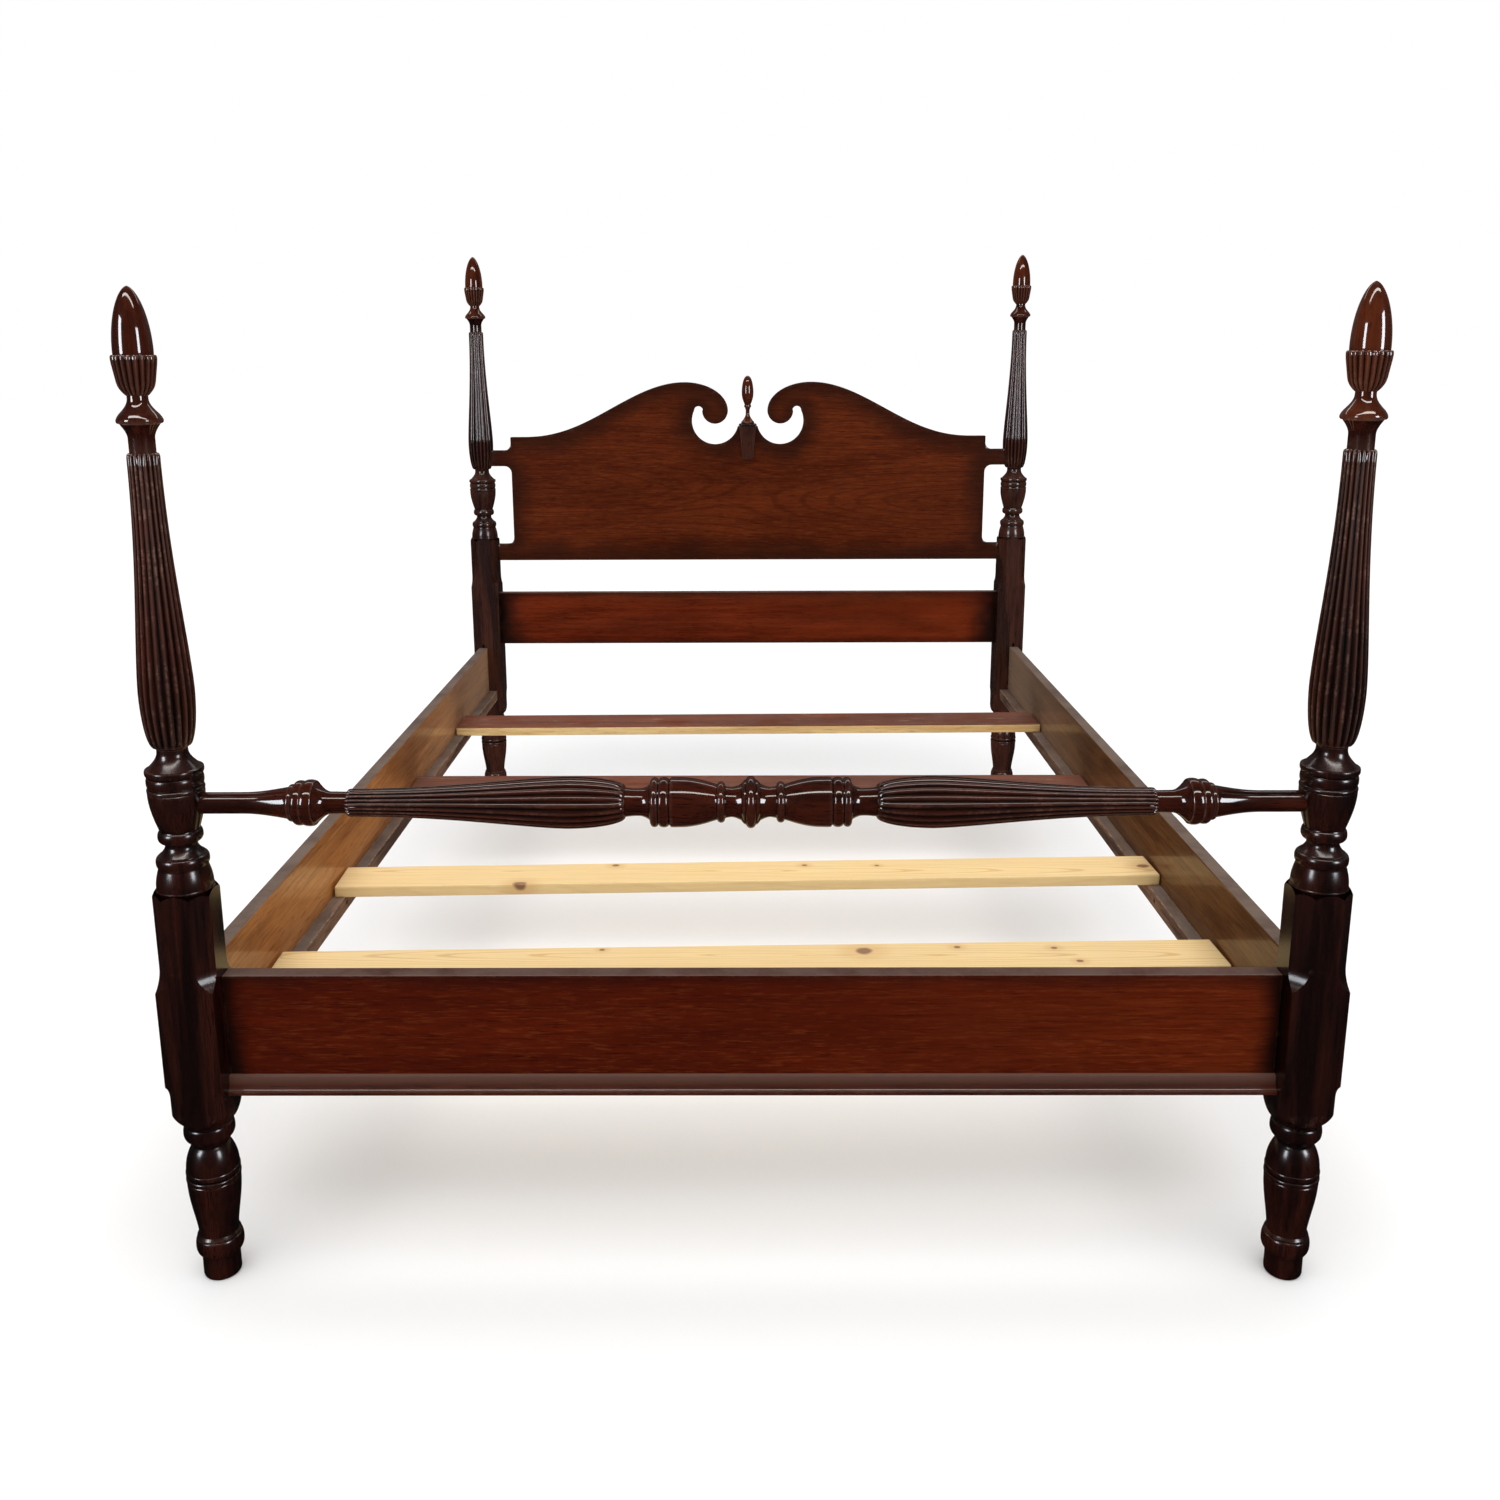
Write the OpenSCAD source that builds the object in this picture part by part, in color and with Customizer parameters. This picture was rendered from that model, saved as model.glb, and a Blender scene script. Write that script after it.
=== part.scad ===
// Four-poster bed, full size: reeded posts with acorn finials, a scrolled headboard,
// a turned cross rail, and side rails that hook into the posts and carry loose slats.
// Millimetres. X runs across the bed, the footboard is at -Y, the headboard at +Y,
// and Z = 0 is the floor. Turnings are written as radius and height from their own start.

/* [Overall] */
// Width between the inner faces of the side rails, which is the spacing of the posts
inside_w = 1384; // [1100:2:1900]
// Length between the centres of the foot posts and the head posts
post_length = 1982; // [1600:2:2400]

/* [Posts] */
// Height of the turned foot below the square block
foot_h = 222; // [200:1:300]
// Width of the square block
block_w = 70; // [60:1:84]
// Width that each chamfer takes off a face of the block, above the rails
chamfer_w = 18; // [8:1:19]
// The same below the rails
low_chamfer_w = 11; // [6:1:18]
// Radius of the hollow that ends each chamfer
stop_r = 33; // [20:1:38]
// Length of the chamfered part of the block above its square part
upper_chamfer_h = 125; // [110:1:160]
// Height of the turned urn and rings between the block and the reeded shaft
urn_h = 177; // [176:1:190]
// Length of the reeded shaft
shaft_h = 350; // [280:1:420]
// Length of the plain neck above the reeds
neck_h = 33; // [26:1:45]
// Largest radius of the reeded shaft
bulb_r = 31.5; // [30:0.5:36]
// Radius of the reeded shaft at its top
shaft_top_r = 18; // [17:0.5:22]
// Number of reeds
reeds = 16; // [12:1:20]
// Depth of a reed as a share of the radius
reed_share = 0.06; // [0.03:0.01:0.1]

/* [Side rails] */
// Height of the lower edge of the rails above the bottom of the block
rail_lift = 41; // [38:1:70]
// Height of a side rail
rail_h = 146; // [120:1:180]
// Thickness of a side rail
rail_t = 22; // [19:0.5:27]
// Width of the ledger that carries the slats
ledger_w = 21; // [18:0.5:28]
// Height of the ledger
ledger_h = 25; // [20:0.5:32]
// Height of the ledger above the lower edge of the rail
ledger_up = 4; // [0:0.5:12]
// Number of screws in each ledger
ledger_screw_n = 5; // [3:1:8]

/* [Foot rail and cross rail] */
// Height of the foot rail
foot_rail_h = 157; // [130:1:190]
// Thickness of the foot rail
foot_rail_t = 24; // [19:0.5:30]
// How far the face of the foot rail is set back from the post centres
foot_rail_set = -5; // [-12:0.5:0]
// Height of the moulding along the lower edge
moulding_h = 24; // [18:0.5:32]
// How far the moulding stands out
moulding_t = 12; // [8:0.5:16]
// Height of the cross rail's axis above the top of the block
cross_rail_up = 108; // [102:0.5:114]
// Radius of the cross rail's plain ends
cross_end_r = 13; // [11:0.5:15]

/* [Headboard] */
// Height of the stretcher board's lower edge above the lower edge of the side rails
stretcher_up = 153; // [150:1:190]
// Height of the stretcher board
stretcher_h = 137; // [100:1:170]
// Thickness of the stretcher board
stretcher_t = 24; // [18:0.5:30]
// Thickness of the scrolled panel
panel_t = 20; // [16:0.5:24]
// How far the panel reaches below the top of the block
panel_drop = 58; // [50:1:70]
// Gap between the panel's upright edge and the post centre line
panel_side_gap = 78.5; // [60:0.5:110]
// Height of the panel's shoulders above its lower edge
shoulder_h = 320; // [305:1:360]
// Height of the scroll's crest above the shoulders
crest_h = 138; // [110:1:165]
// Distance of the crest from the middle
crest_x = 163; // [150:1:185]
// Height of a lower tab
low_tab_h = 42; // [34:1:50]
// Height of the upper tab
top_tab_h = 40; // [32:1:44]
// Height of the upper tab's lower edge above the panel's lower edge
top_tab_up = 246; // [230:1:252]
// Radius of the hollows beside the tabs
tab_fillet = 18; // [8:0.5:20]
// Radius of the scroll's round end
scroll_r = 33; // [28:0.5:40]
// Radius of the open channel around the scroll's end
channel_r = 60; // [54:0.5:62]

/* [Slats] */
// Thickness of a slat
slat_t = 19; // [15:0.5:25]
// Width of the two narrow slats
narrow_slat_w = 89; // [60:1:110]
// Width of the two wide slats
wide_slat_w = 115; // [90:1:140]
// Gap between a slat's end and the side rail
slat_end_gap = 3; // [2.5:0.5:8]

/* [Joinery] */
// Gap around a dowel or a tenon
dowel_fit = 0.15; // [0.05:0.01:0.3]
// Gap between a rail's end and the post, and around the hooks
hook_fit = 0.3; // [0.2:0.05:0.5]
// Radius of the tenon at the foot of the shaft
shaft_tenon_r = 12; // [9:0.5:13]
// Length of that tenon
shaft_tenon_h = 35; // [20:1:40]
// Radius of the tenon under each finial
finial_tenon_r = 8; // [5:0.5:10]
// Length of that tenon
finial_tenon_h = 28; // [15:1:40]
// Thickness of the tenons of the boards
tenon_t = 12; // [8:0.5:14]
// Length of the tenons of the boards
tenon_len = 22; // [12:0.5:22]
// Depth of the cross rail's socket in the urn
socket_depth = 20; // [12:0.5:22]
// Radius of the pins that the hooks hang on
pin_r = 3; // [2:0.1:4]
// Thickness of the hook plate
plate_t = 3; // [2:0.1:4]
// Height between the two hooks of a plate
hook_pitch = 52; // [46:1:64]
// How far a side rail lifts before its hooks leave the pins
hook_lift = 15; // [12:0.5:16]

/* [Hidden] */

$fn = 64;

post_x = inside_w / 2;
post_y = post_length / 2;
half_block = block_w / 2;

// Heights, worked up from the floor
rail_z = foot_h + rail_lift;
rail_top = rail_z + rail_h;
foot_square_top = rail_top;
foot_block_top = foot_square_top + upper_chamfer_h;
stretcher_z = rail_z + stretcher_up;
head_square_top = stretcher_z + stretcher_h + 20;
head_block_top = head_square_top + upper_chamfer_h;
panel_z = head_block_top - panel_drop;
cross_z = foot_block_top + cross_rail_up;

// A chamfer's face, measured from the axis along the diagonal, and the length of its stop
function chamfer_d(w) = (block_w - w) / sqrt(2);
function stop_run(w) = sqrt(pow(stop_r, 2) - pow(stop_r - w / sqrt(2), 2));

// The hooks and their slot
plate_x = post_x + rail_t / 2 - 1;
slot_w = plate_t + 2;
slot_depth = 26;
pin_in = 16;
pin_z = rail_z + 36;
slot_z = pin_z - 18;
slot_top = rail_top + 9;
hook_reach = slot_depth - 2;
kerf_depth = 45;
rail_half = post_y - half_block - hook_fit;

// Slats: distance of the middle from the bed's middle, as a share of the length, and skew
slat_z = rail_z + ledger_up + ledger_h;
slat_len = inside_w - 2 * slat_end_gap;

// A turning is a list of [radius, height] stations. These functions write its parts.
// Steep at first, then settling to the new radius
function settle(r0, r1, z0, z1, n = 5) =
    [for (i = [0 : n]) [r0 + (r1 - r0) * sin(90 * i / n), z0 + (z1 - z0) * i / n]];
// Level with the old radius at first, then turning away to the new one
function leave(r0, r1, z0, z1, n = 5) =
    [for (i = [0 : n]) [r1 + (r0 - r1) * cos(90 * i / n), z0 + (z1 - z0) * i / n]];
// Round bead between two core radii
function bead(r0, r, r1, z0, z1, n = 4) = let (m = (z0 + z1) / 2, h = (z1 - z0) / 2)
    concat([for (i = [0 : n]) [r0 + (r - r0) * sin(90 * i / n), m - h * cos(90 * i / n)]],
        [for (i = [1 : n]) [r1 + (r - r1) * cos(90 * i / n), m + h * sin(90 * i / n)]]);

module turned(stations) {
    last = len(stations) - 1;
    rotate_extrude()
        polygon(concat([[0, stations[0][1]]], stations, [[0, stations[last][1]]]));
}

// Turned foot, from the floor to just inside the block
foot_turning = concat(
    [[21.5, 0], [22.8, 1], [23.5, 3], [23.3, foot_h - 190]],
    bead(24, 29.6, 27, foot_h - 189, foot_h - 166),
    [[26.4, foot_h - 165.5], [27, foot_h - 165], [26.8, foot_h - 162], [24.4, foot_h - 160],
        [25, foot_h - 150], [26.8, foot_h - 138], [28.8, foot_h - 125], [30.8, foot_h - 111],
        [32.2, foot_h - 96], [32.8, foot_h - 84]],
    bead(32.2, 33.6, 32, foot_h - 83, foot_h - 77, 2),
    bead(32, 33.4, 32.2, foot_h - 74, foot_h - 68, 2),
    [for (i = [0 : 7]) let (a = 90 * i / 7)
        [22 + 10.4 * pow(cos(a), 0.75), foot_h - 67 + 33 * i / 7]],
    [[21.8, foot_h - 31], [22, foot_h - 28]],
    bead(23, 31.2, 28.5, foot_h - 27, foot_h - 5),
    [[28.4, foot_h - 4.5], [29.4, foot_h - 4], [29.4, foot_h - 1.5], [28, foot_h + 30]]);

// Rounded shoulders of the block, which is cut from the square by the same turning
function block_turning(top) = concat(
    [[30.5, foot_h - 1]],
    settle(31, 43, foot_h, foot_h + 20),
    [[62, foot_h + 26], [62, top - 18], [42, top - 10], [39.8, top - 7], [37.4, top - 3], [35.2, top]]);

// Dome, ring, neck, bead, urn and rings above the block, from the top of the block
function urn_turning(t) = concat(
    [[30, t - 30], [30, t - 0.5], [34, t], [34, t + 2], [33.4, t + 3]],
    leave(33.2, 28.6, t + 5, t + 29),
    bead(28.6, 30.9, 28, t + 30, t + 43),
    [[27.2, t + 43.5], [27, t + 44.5]],
    settle(25.5, 18.6, t + 45, t + 57),
    [[18.6, t + 59]],
    bead(20, 26.2, 23.6, t + 60, t + 75),
    settle(23.2, 32.8, t + 76, t + 124),
    bead(32, 33.2, 31.4, t + 125, t + 130, 2),
    bead(31.2, 33, 31.2, t + 131.5, t + 144, 3),
    bead(31.4, 33.8, 33.2, t + 145.5, t + 153, 3),
    settle(30.5, 17.8, t + 154, t + urn_h - 3),
    [[17.8, t + urn_h]]);

// The square block with its stopped chamfers and turned shoulders
module block(square_z, square_top, top) {
    difference() {
        intersection() {
            translate([-half_block, -half_block, foot_h - 1])
                cube([block_w, block_w, top - foot_h + 1]);
            turned(block_turning(top));
        }
        for (q = [0 : 3])
            rotate([0, 0, 45 + 90 * q])
                chamfer_cuts(square_z, square_top, top);
    }
}

// One corner's two chamfers, each ending in a hollow
module chamfer_cuts(square_z, square_top, top) {
    low = square_z - stop_run(low_chamfer_w);
    high = square_top + stop_run(chamfer_w);
    translate([chamfer_d(low_chamfer_w), -20, foot_h - 2]) cube([20, 40, low - foot_h + 2]);
    translate([chamfer_d(chamfer_w), -20, high]) cube([20, 40, top - high + 1]);
    for (stop = [[low_chamfer_w, low], [chamfer_w, high]])
        translate([chamfer_d(stop[0]) + stop_r, 0, stop[1]])
            rotate([90, 0, 0]) cylinder(r = stop_r, h = 40, center = true, $fn = 96);
}

// Slot and pin bores in the face towards the bed (+Y here), with the bed's middle at -X
module hook_cuts() {
    x = plate_x - post_x;
    translate([x - slot_w / 2, half_block - slot_depth, slot_z])
        cube([slot_w, slot_depth + 1, slot_top - slot_z]);
    for (z = [pin_z, pin_z + hook_pitch])
        translate([-half_block - 1, half_block - pin_in, z])
            rotate([0, 90, 0]) cylinder(r = pin_r + dowel_fit, h = half_block + 1 + x + 14);
}

// Mortise in the block's face towards the bed's middle (-X), for a board's tenon
module mortise(y, z, h, t, depth) {
    translate([-half_block - 1, y - t / 2 - dowel_fit, z - dowel_fit])
        cube([1 + depth + dowel_fit, t + 2 * dowel_fit, h + 2 * dowel_fit]);
}

// Turned post from the floor to the foot of the reeded shaft
module post_turning(square_top, top) {
    turned(foot_turning);
    block(rail_z + 20, square_top, top);
    turned(urn_turning(top));
}

module shaft_bore(top) {
    translate([0, 0, top + urn_h - shaft_tenon_h - 1])
        cylinder(r = shaft_tenon_r + dowel_fit, h = shaft_tenon_h + 2);
}

foot_rail_y = foot_rail_set + foot_rail_t / 2;

// Right foot post, standing at the origin
module foot_post() {
    difference() {
        post_turning(foot_square_top, foot_block_top);
        shaft_bore(foot_block_top);
        hook_cuts();
        mortise(foot_rail_y, foot_tenon_z, foot_tenon_h, tenon_t, tenon_len);
        translate([-socket_depth + dowel_fit, 0, cross_z]) rotate([0, -90, 0])
            cylinder(r = cross_end_r + dowel_fit, h = half_block);
    }
}

// Right head post, standing at the origin
module head_post() {
    difference() {
        post_turning(head_square_top, head_block_top);
        shaft_bore(head_block_top);
        mirror([0, 1, 0]) hook_cuts();
        mortise(0, stretcher_tenon_z, stretcher_tenon_h, tenon_t, tenon_len);
        mortise(0, panel_z + panel_tenon_in, panel_tenon_h, tenon_t, panel_tenon_len);
    }
}

// Reeded form: rings of points around Z. A reed is a half wave, flattened where d is small.
function reed_wave(t) = sin(180 * (t - floor(t)));
function reed_ring(z, r, d, m = 4) =
    [for (i = [0 : reeds * m - 1]) let (a = 360 * i / (reeds * m),
        q = r - d * (1 - reed_wave(i / m))) [q * cos(a), q * sin(a), z]];

module loft(rings) {
    n = len(rings[0]);
    points = [for (ring = rings) each ring];
    sides = [for (j = [0 : len(rings) - 2]) for (i = [0 : n - 1])
        let (a = j * n + i, b = j * n + (i + 1) % n) each [[a, b + n, b], [a, a + n, b + n]]];
    top = [for (i = [0 : n - 1]) (len(rings) - 1) * n + n - 1 - i];
    bottom = [for (i = [0 : n - 1]) i];
    polyhedron(points = points, faces = concat(sides, [top], [bottom]), convexity = 8);
}

// Reeded taper from z0 up to its fullest at zb, then slimming to r1 at z1, as a lathe shape
module reeded_taper(z0, zb, z1, r0, rb, r1) {
    low_n = 4;
    high_n = 6;
    low = [for (i = [0 : low_n - 1]) let (a = 90 * i / low_n)
        [r0 + (rb - r0) * sin(a), zb - (zb - z0) * cos(a), i == 0 ? 0.3 : 1]];
    high = [for (i = [0 : high_n]) let (t = i / high_n)
        [r1 + (rb - r1) * (1 + cos(180 * pow(t, 0.73))) / 2, zb + (z1 - 4 - zb) * t, 1]];
    rings = concat(low, high, [[r1 - 1.6, z1, 0.5]]);
    loft([for (g = rings) reed_ring(g[1], g[0], g[0] * reed_share * g[2])]);
}

// Reeded shaft above the urn, from the shaft's own foot, with the tenon below
module shaft() {
    core_r = 17.4;
    neck_r = 14.5;
    top = shaft_h + neck_h;
    reeded_taper(3, 0.2 * shaft_h, shaft_h, 20.5, bulb_r, shaft_top_r);
    turned([[shaft_tenon_r, -shaft_tenon_h], [shaft_tenon_r, 0], [core_r, 0], [18.2, 4],
        [core_r, 12], [core_r, 20]]);
    turned(concat([[12, shaft_h - 30], [12, shaft_h - 5], [neck_r, shaft_h - 4]],
        [[neck_r, shaft_h + neck_h / 2]],
        leave(neck_r, 22, shaft_h + neck_h / 2, top, 6)));
}

module post_shaft(top) {
    difference() {
        translate([0, 0, top + urn_h]) shaft();
        translate([0, 0, top + urn_h + shaft_h + neck_h - finial_tenon_h - 1])
            cylinder(r = finial_tenon_r + dowel_fit, h = finial_tenon_h + 2);
    }
}

// The head post's shaft also takes the headboard's upper tab
module head_shaft() {
    difference() {
        post_shaft(head_block_top);
        mortise(0, panel_z + top_tab_up, top_tab_h, panel_t, half_block - tab_in);
    }
}

// Acorn in a reeded cup on a turned collar, with its tenon below
module finial() {
    cup_z = 31;
    cup = [[12, 0, 0.3], [15.6, 4.5, 0.7], [18.8, 9, 1], [20.8, 15, 1], [22.4, 25, 1], [24, 34, 1],
        [24.6, 40, 1], [23.8, 45, 0.4]];
    turned(concat([[finial_tenon_r, -finial_tenon_h], [finial_tenon_r, 0], [22.5, 0],
        [24.6, 1], [25.2, 2.5], [25.2, 4], [24.6, 6], [22.4, 10], [21.4, 11], [18.2, 14.5],
        [15.2, 18], [12.8, 22], [11.5, 26], [11.3, cup_z - 1], [11.3, cup_z + 8], [9, cup_z + 14]]));
    translate([0, 0, cup_z])
        loft([for (g = cup) reed_ring(g[1], g[0], g[0] * reed_share * g[2])]);
    turned(concat([[9, cup_z + 22], [20, cup_z + 34], [21.6, cup_z + 44]],
        [for (i = [0 : 9]) let (a = 9 * i)
            [21.6 * pow(cos(a), 1.2), cup_z + 49 + 71 * sin(a)]], [[1.2, cup_z + 120]]));
}

module post_finial(top) {
    translate([0, 0, top + urn_h + shaft_h + neck_h]) finial();
}

// Puts a right-hand piece at one of the four corners
module at_corner(right, head) {
    translate([right ? post_x : -post_x, head ? post_y : -post_y, 0])
        mirror([right ? 0 : 1, 0, 0]) children();
}

post_colour = "#2e1512";
module foot_left_post() { color(post_colour) at_corner(false, false) foot_post(); }
module foot_right_post() { color(post_colour) at_corner(true, false) foot_post(); }
module head_left_post() { color(post_colour) at_corner(false, true) head_post(); }
module head_right_post() { color(post_colour) at_corner(true, true) head_post(); }

shaft_colour = "#3a1b17";
module foot_left_shaft() { color(shaft_colour) at_corner(false, false) post_shaft(foot_block_top); }
module foot_right_shaft() { color(shaft_colour) at_corner(true, false) post_shaft(foot_block_top); }
module head_left_shaft() { color(shaft_colour) at_corner(false, true) head_shaft(); }
module head_right_shaft() { color(shaft_colour) at_corner(true, true) head_shaft(); }

finial_colour = "#431c16";
module foot_left_finial() { color(finial_colour) at_corner(false, false) post_finial(foot_block_top); }
module foot_right_finial() { color(finial_colour) at_corner(true, false) post_finial(foot_block_top); }
module head_left_finial() { color(finial_colour) at_corner(false, true) post_finial(head_block_top); }
module head_right_finial() { color(finial_colour) at_corner(true, true) post_finial(head_block_top); }

// Board across the foot, between the blocks, with its two tenons
foot_tenon_z = rail_z + 22;
foot_tenon_h = foot_rail_h - 48;
board_half = post_x - half_block;
module foot_rail() {
    y = -post_y + foot_rail_set;
    color("#4b1509") {
        translate([-board_half, y, rail_z - 2]) cube([2 * board_half, foot_rail_t, foot_rail_h]);
        translate([-board_half - tenon_len, -post_y + foot_rail_y - tenon_t / 2, foot_tenon_z])
            cube([2 * (board_half + tenon_len), tenon_t, foot_tenon_h]);
    }
}

// Section of the base moulding: a slope, a hollow and a square fillet, against the board at x = 0
module moulding_section() {
    fillet_h = 5;
    lip = 4;
    hollow = moulding_t - lip;
    polygon(concat([[0, 0], [moulding_t, 0], [moulding_t, fillet_h]],
        [for (i = [0 : 6]) [moulding_t - hollow * sin(15 * i),
            moulding_h - 2 - (moulding_h - fillet_h - 2) * cos(15 * i)]],
        [[0, moulding_h]]));
}

module foot_rail_moulding() {
    color("#3a1710") translate([-board_half, -post_y + foot_rail_set, rail_z - 2])
        rotate([90, 0, 90]) linear_extrude(2 * board_half)
            mirror([1, 0]) moulding_section();
}

// Turned rail between the foot urns: half of it, from the middle outwards
urn_face = 32;
cross_half = post_x - socket_depth;
cross_reed_z0 = 151;
cross_bulb = 220;
cross_ring = post_x - urn_face - 142;
cross_reed_z1 = cross_ring - 32;
cross_middle = concat(
    [[31.4, 0], [30.6, 3], [28, 5.5], [27, 6], [26.5, 8], [23, 11]],
    settle(22, 18, 11.5, 24, 4), [[19, 30]],
    bead(20, 24.8, 21, 31, 40.5),
    settle(21.6, 30, 41.5, 84), [[30, 96], [28, 97.5]],
    bead(27, 30.2, 27, 98.5, 110.5), bead(27, 30, 24, 111.5, 121),
    settle(21, 16.5, 122, 134, 4), [[16.5, 140], [17.5, 151], [14, 156], [14, 190]]);
cross_outer = concat(
    [[12, cross_reed_z1 - 40], [13.2, cross_reed_z1 - 4], [13.6, cross_ring - 12]],
    leave(13.6, 26, cross_ring - 12, cross_ring + 6),
    bead(26, 28.2, 25.4, cross_ring + 6, cross_ring + 20),
    bead(25.4, 27.2, 23, cross_ring + 20, cross_ring + 31),
    bead(21.5, 22.6, 20, cross_ring + 32, cross_ring + 38, 2),
    settle(19.5, cross_end_r, cross_ring + 39, cross_ring + 95),
    [[cross_end_r, cross_half]]);

module cross_rail() {
    color("#351713") translate([0, -post_y, cross_z])
        for (side = [-1, 1]) rotate([0, 90 * side, 0]) {
            turned(cross_middle);
            reeded_taper(cross_reed_z0, cross_bulb, cross_reed_z1, 18, 32, 17);
            turned(cross_outer);
        }
}

// Scrolled headboard, drawn from the middle to one edge with z = 0 at its lower edge
panel_tenon_in = 5;
panel_tenon_h = low_tab_h - 2 * panel_tenon_in;
panel_tenon_len = 16;
tab_in = 16;
edge_x = post_x - panel_side_gap;
shoulder_x = edge_x - 33.5;
crest_z = shoulder_h + crest_h;
scroll_z = crest_z - 72;
scroll_x = crest_x - 79;
channel_z = scroll_z - 26;
plinth_half = 25;
plinth_z = scroll_z - 40;
throat_x = scroll_x + sqrt(pow(channel_r, 2) - pow(scroll_z - channel_z, 2));

module half_panel_outline() {
    inner_x = scroll_x - scroll_r;
    arm = crest_x - inner_x;
    rise = crest_z - scroll_z;
    polygon(concat([[0, 0], [edge_x, 0], [edge_x, shoulder_h], [shoulder_x, shoulder_h]],
        [for (i = [1 : 14]) let (t = i / 14) [shoulder_x + (crest_x - shoulder_x) * t,
            shoulder_h + crest_h * (1 - cos(180 * pow(t, 1.1))) / 2]],
        [for (i = [1 : 9]) [crest_x - arm * sin(10 * i), scroll_z + rise * cos(10 * i)]],
        [[inner_x, scroll_z - 5], [plinth_half, plinth_z], [0, plinth_z]]));
}

// Open channel around the scroll's round end, with a round throat
module channel_outline() {
    throat_r = (throat_x - scroll_x - scroll_r) / 2 + 1;
    rise = asin((scroll_z - channel_z) / channel_r);
    difference() {
        polygon(concat(
            [for (i = [0 : 36]) let (a = 180 - rise + (180 + 2 * rise) * i / 36)
                [scroll_x + channel_r * cos(a), channel_z + channel_r * sin(a)]],
            [for (i = [1 : 9]) [throat_x - throat_r + throat_r * cos(18 * i),
                scroll_z + throat_r * sin(18 * i)]],
            [[scroll_x, scroll_z]]));
        translate([scroll_x, scroll_z]) circle(r = scroll_r);
    }
}

// Tab from the panel's edge to the post, with a hollow above or below it
module tab(z, h, reach) {
    translate([edge_x - 1, z]) square([reach - edge_x + 1, h]);
}
module hollow(z, side) {
    difference() {
        translate([edge_x, side > 0 ? z : z - tab_fillet]) square(tab_fillet);
        translate([edge_x + tab_fillet, z + side * tab_fillet]) circle(r = tab_fillet);
    }
}

module half_panel() {
    difference() {
        union() {
            half_panel_outline();
            tab(0, low_tab_h, board_half);
            hollow(low_tab_h, 1);
            tab(top_tab_up, top_tab_h, post_x - tab_in);
            hollow(top_tab_up, -1);
            hollow(top_tab_up + top_tab_h, 1);
        }
        channel_outline();
    }
}

module headboard_panel() {
    color("#4a1c10") translate([0, post_y, panel_z]) {
        rotate([90, 0, 0]) linear_extrude(panel_t, center = true)
            for (side = [0, 1]) mirror([side, 0]) half_panel();
        translate([-board_half - panel_tenon_len, -tenon_t / 2, panel_tenon_in])
            cube([2 * (board_half + panel_tenon_len), tenon_t, panel_tenon_h]);
    }
}

// Tapered keystone on the front of the panel, under the cap
key_w = 43;
key_foot_w = 27;
key_h = 84;
key_t = 12;
key_z = panel_z + plinth_z;
module headboard_keystone() {
    front = post_y - panel_t / 2;
    color("#48190f") intersection() {
        translate([0, front, key_z]) rotate([90, 0, 0]) linear_extrude(key_t)
            polygon([[-key_foot_w / 2, -key_h], [key_foot_w / 2, -key_h],
                [key_w / 2, 0], [-key_w / 2, 0]]);
        translate([-key_w / 2, front, key_z]) rotate([90, 0, 90]) linear_extrude(key_w)
            polygon([[0, 0], [-key_t, 0], [-key_t * 0.6, -key_h], [0, -key_h]]);
    }
}

// Moulded cap on the keystone and the panel's plinth
cap_w = 46;
cap_h = 7;
cap_over = 3;
module keystone_cap() {
    back = post_y + panel_t / 2;
    depth = panel_t + key_t + cap_over;
    color("#351712") difference() {
        union() {
            translate([-cap_w / 2 + 2.5, back - depth + 2.5, key_z])
                cube([cap_w - 5, depth - 2.5, 2.5]);
            translate([-cap_w / 2, back - depth, key_z + 2]) cube([cap_w, depth, cap_h - 3.5]);
            translate([-cap_w / 2 + 2, back - depth + 2, key_z + 4]) cube([cap_w - 4, depth - 2, cap_h - 4]);
        }
        translate([0, cap_mid, key_z - 1]) cylinder(r = 4 + dowel_fit, h = cap_h + 2);
    }
}

// Small turned finial on the cap
cap_mid = post_y - (key_t + cap_over) / 2;
module centre_finial() {
    color("#3c1713") translate([0, cap_mid, key_z + cap_h]) turned(concat(
        [[4, -cap_h + 1], [4, 0], [14.2, 0]], bead(15.2, 17, 15, 0.5, 6, 2),
        settle(14, 5, 7, 26, 5), [[5, 34]], settle(5.2, 6.5, 35, 40, 2),
        bead(7, 9, 7.5, 41, 48, 3), settle(8, 15, 49, 76, 6),
        [for (i = [1 : 7]) [15 * pow(cos(12 * i), 0.9), 78 + 43 * sin(12 * i)]]));
}

// Board across the head, below the panel
stretcher_tenon_z = stretcher_z + 12;
stretcher_tenon_h = stretcher_h - 24;
module head_stretcher() {
    color("#4a150d") {
        translate([-board_half, post_y - stretcher_t / 2, stretcher_z])
            cube([2 * board_half, stretcher_t, stretcher_h]);
        translate([-board_half - tenon_len, post_y - tenon_t / 2, stretcher_tenon_z])
            cube([2 * (board_half + tenon_len), tenon_t, stretcher_tenon_h]);
    }
}

// The ends of a side rail are alike, so what is at the head is mirrored to the foot
module both_ends() {
    for (end = [0, 1]) mirror([0, end, 0]) children();
}

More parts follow.
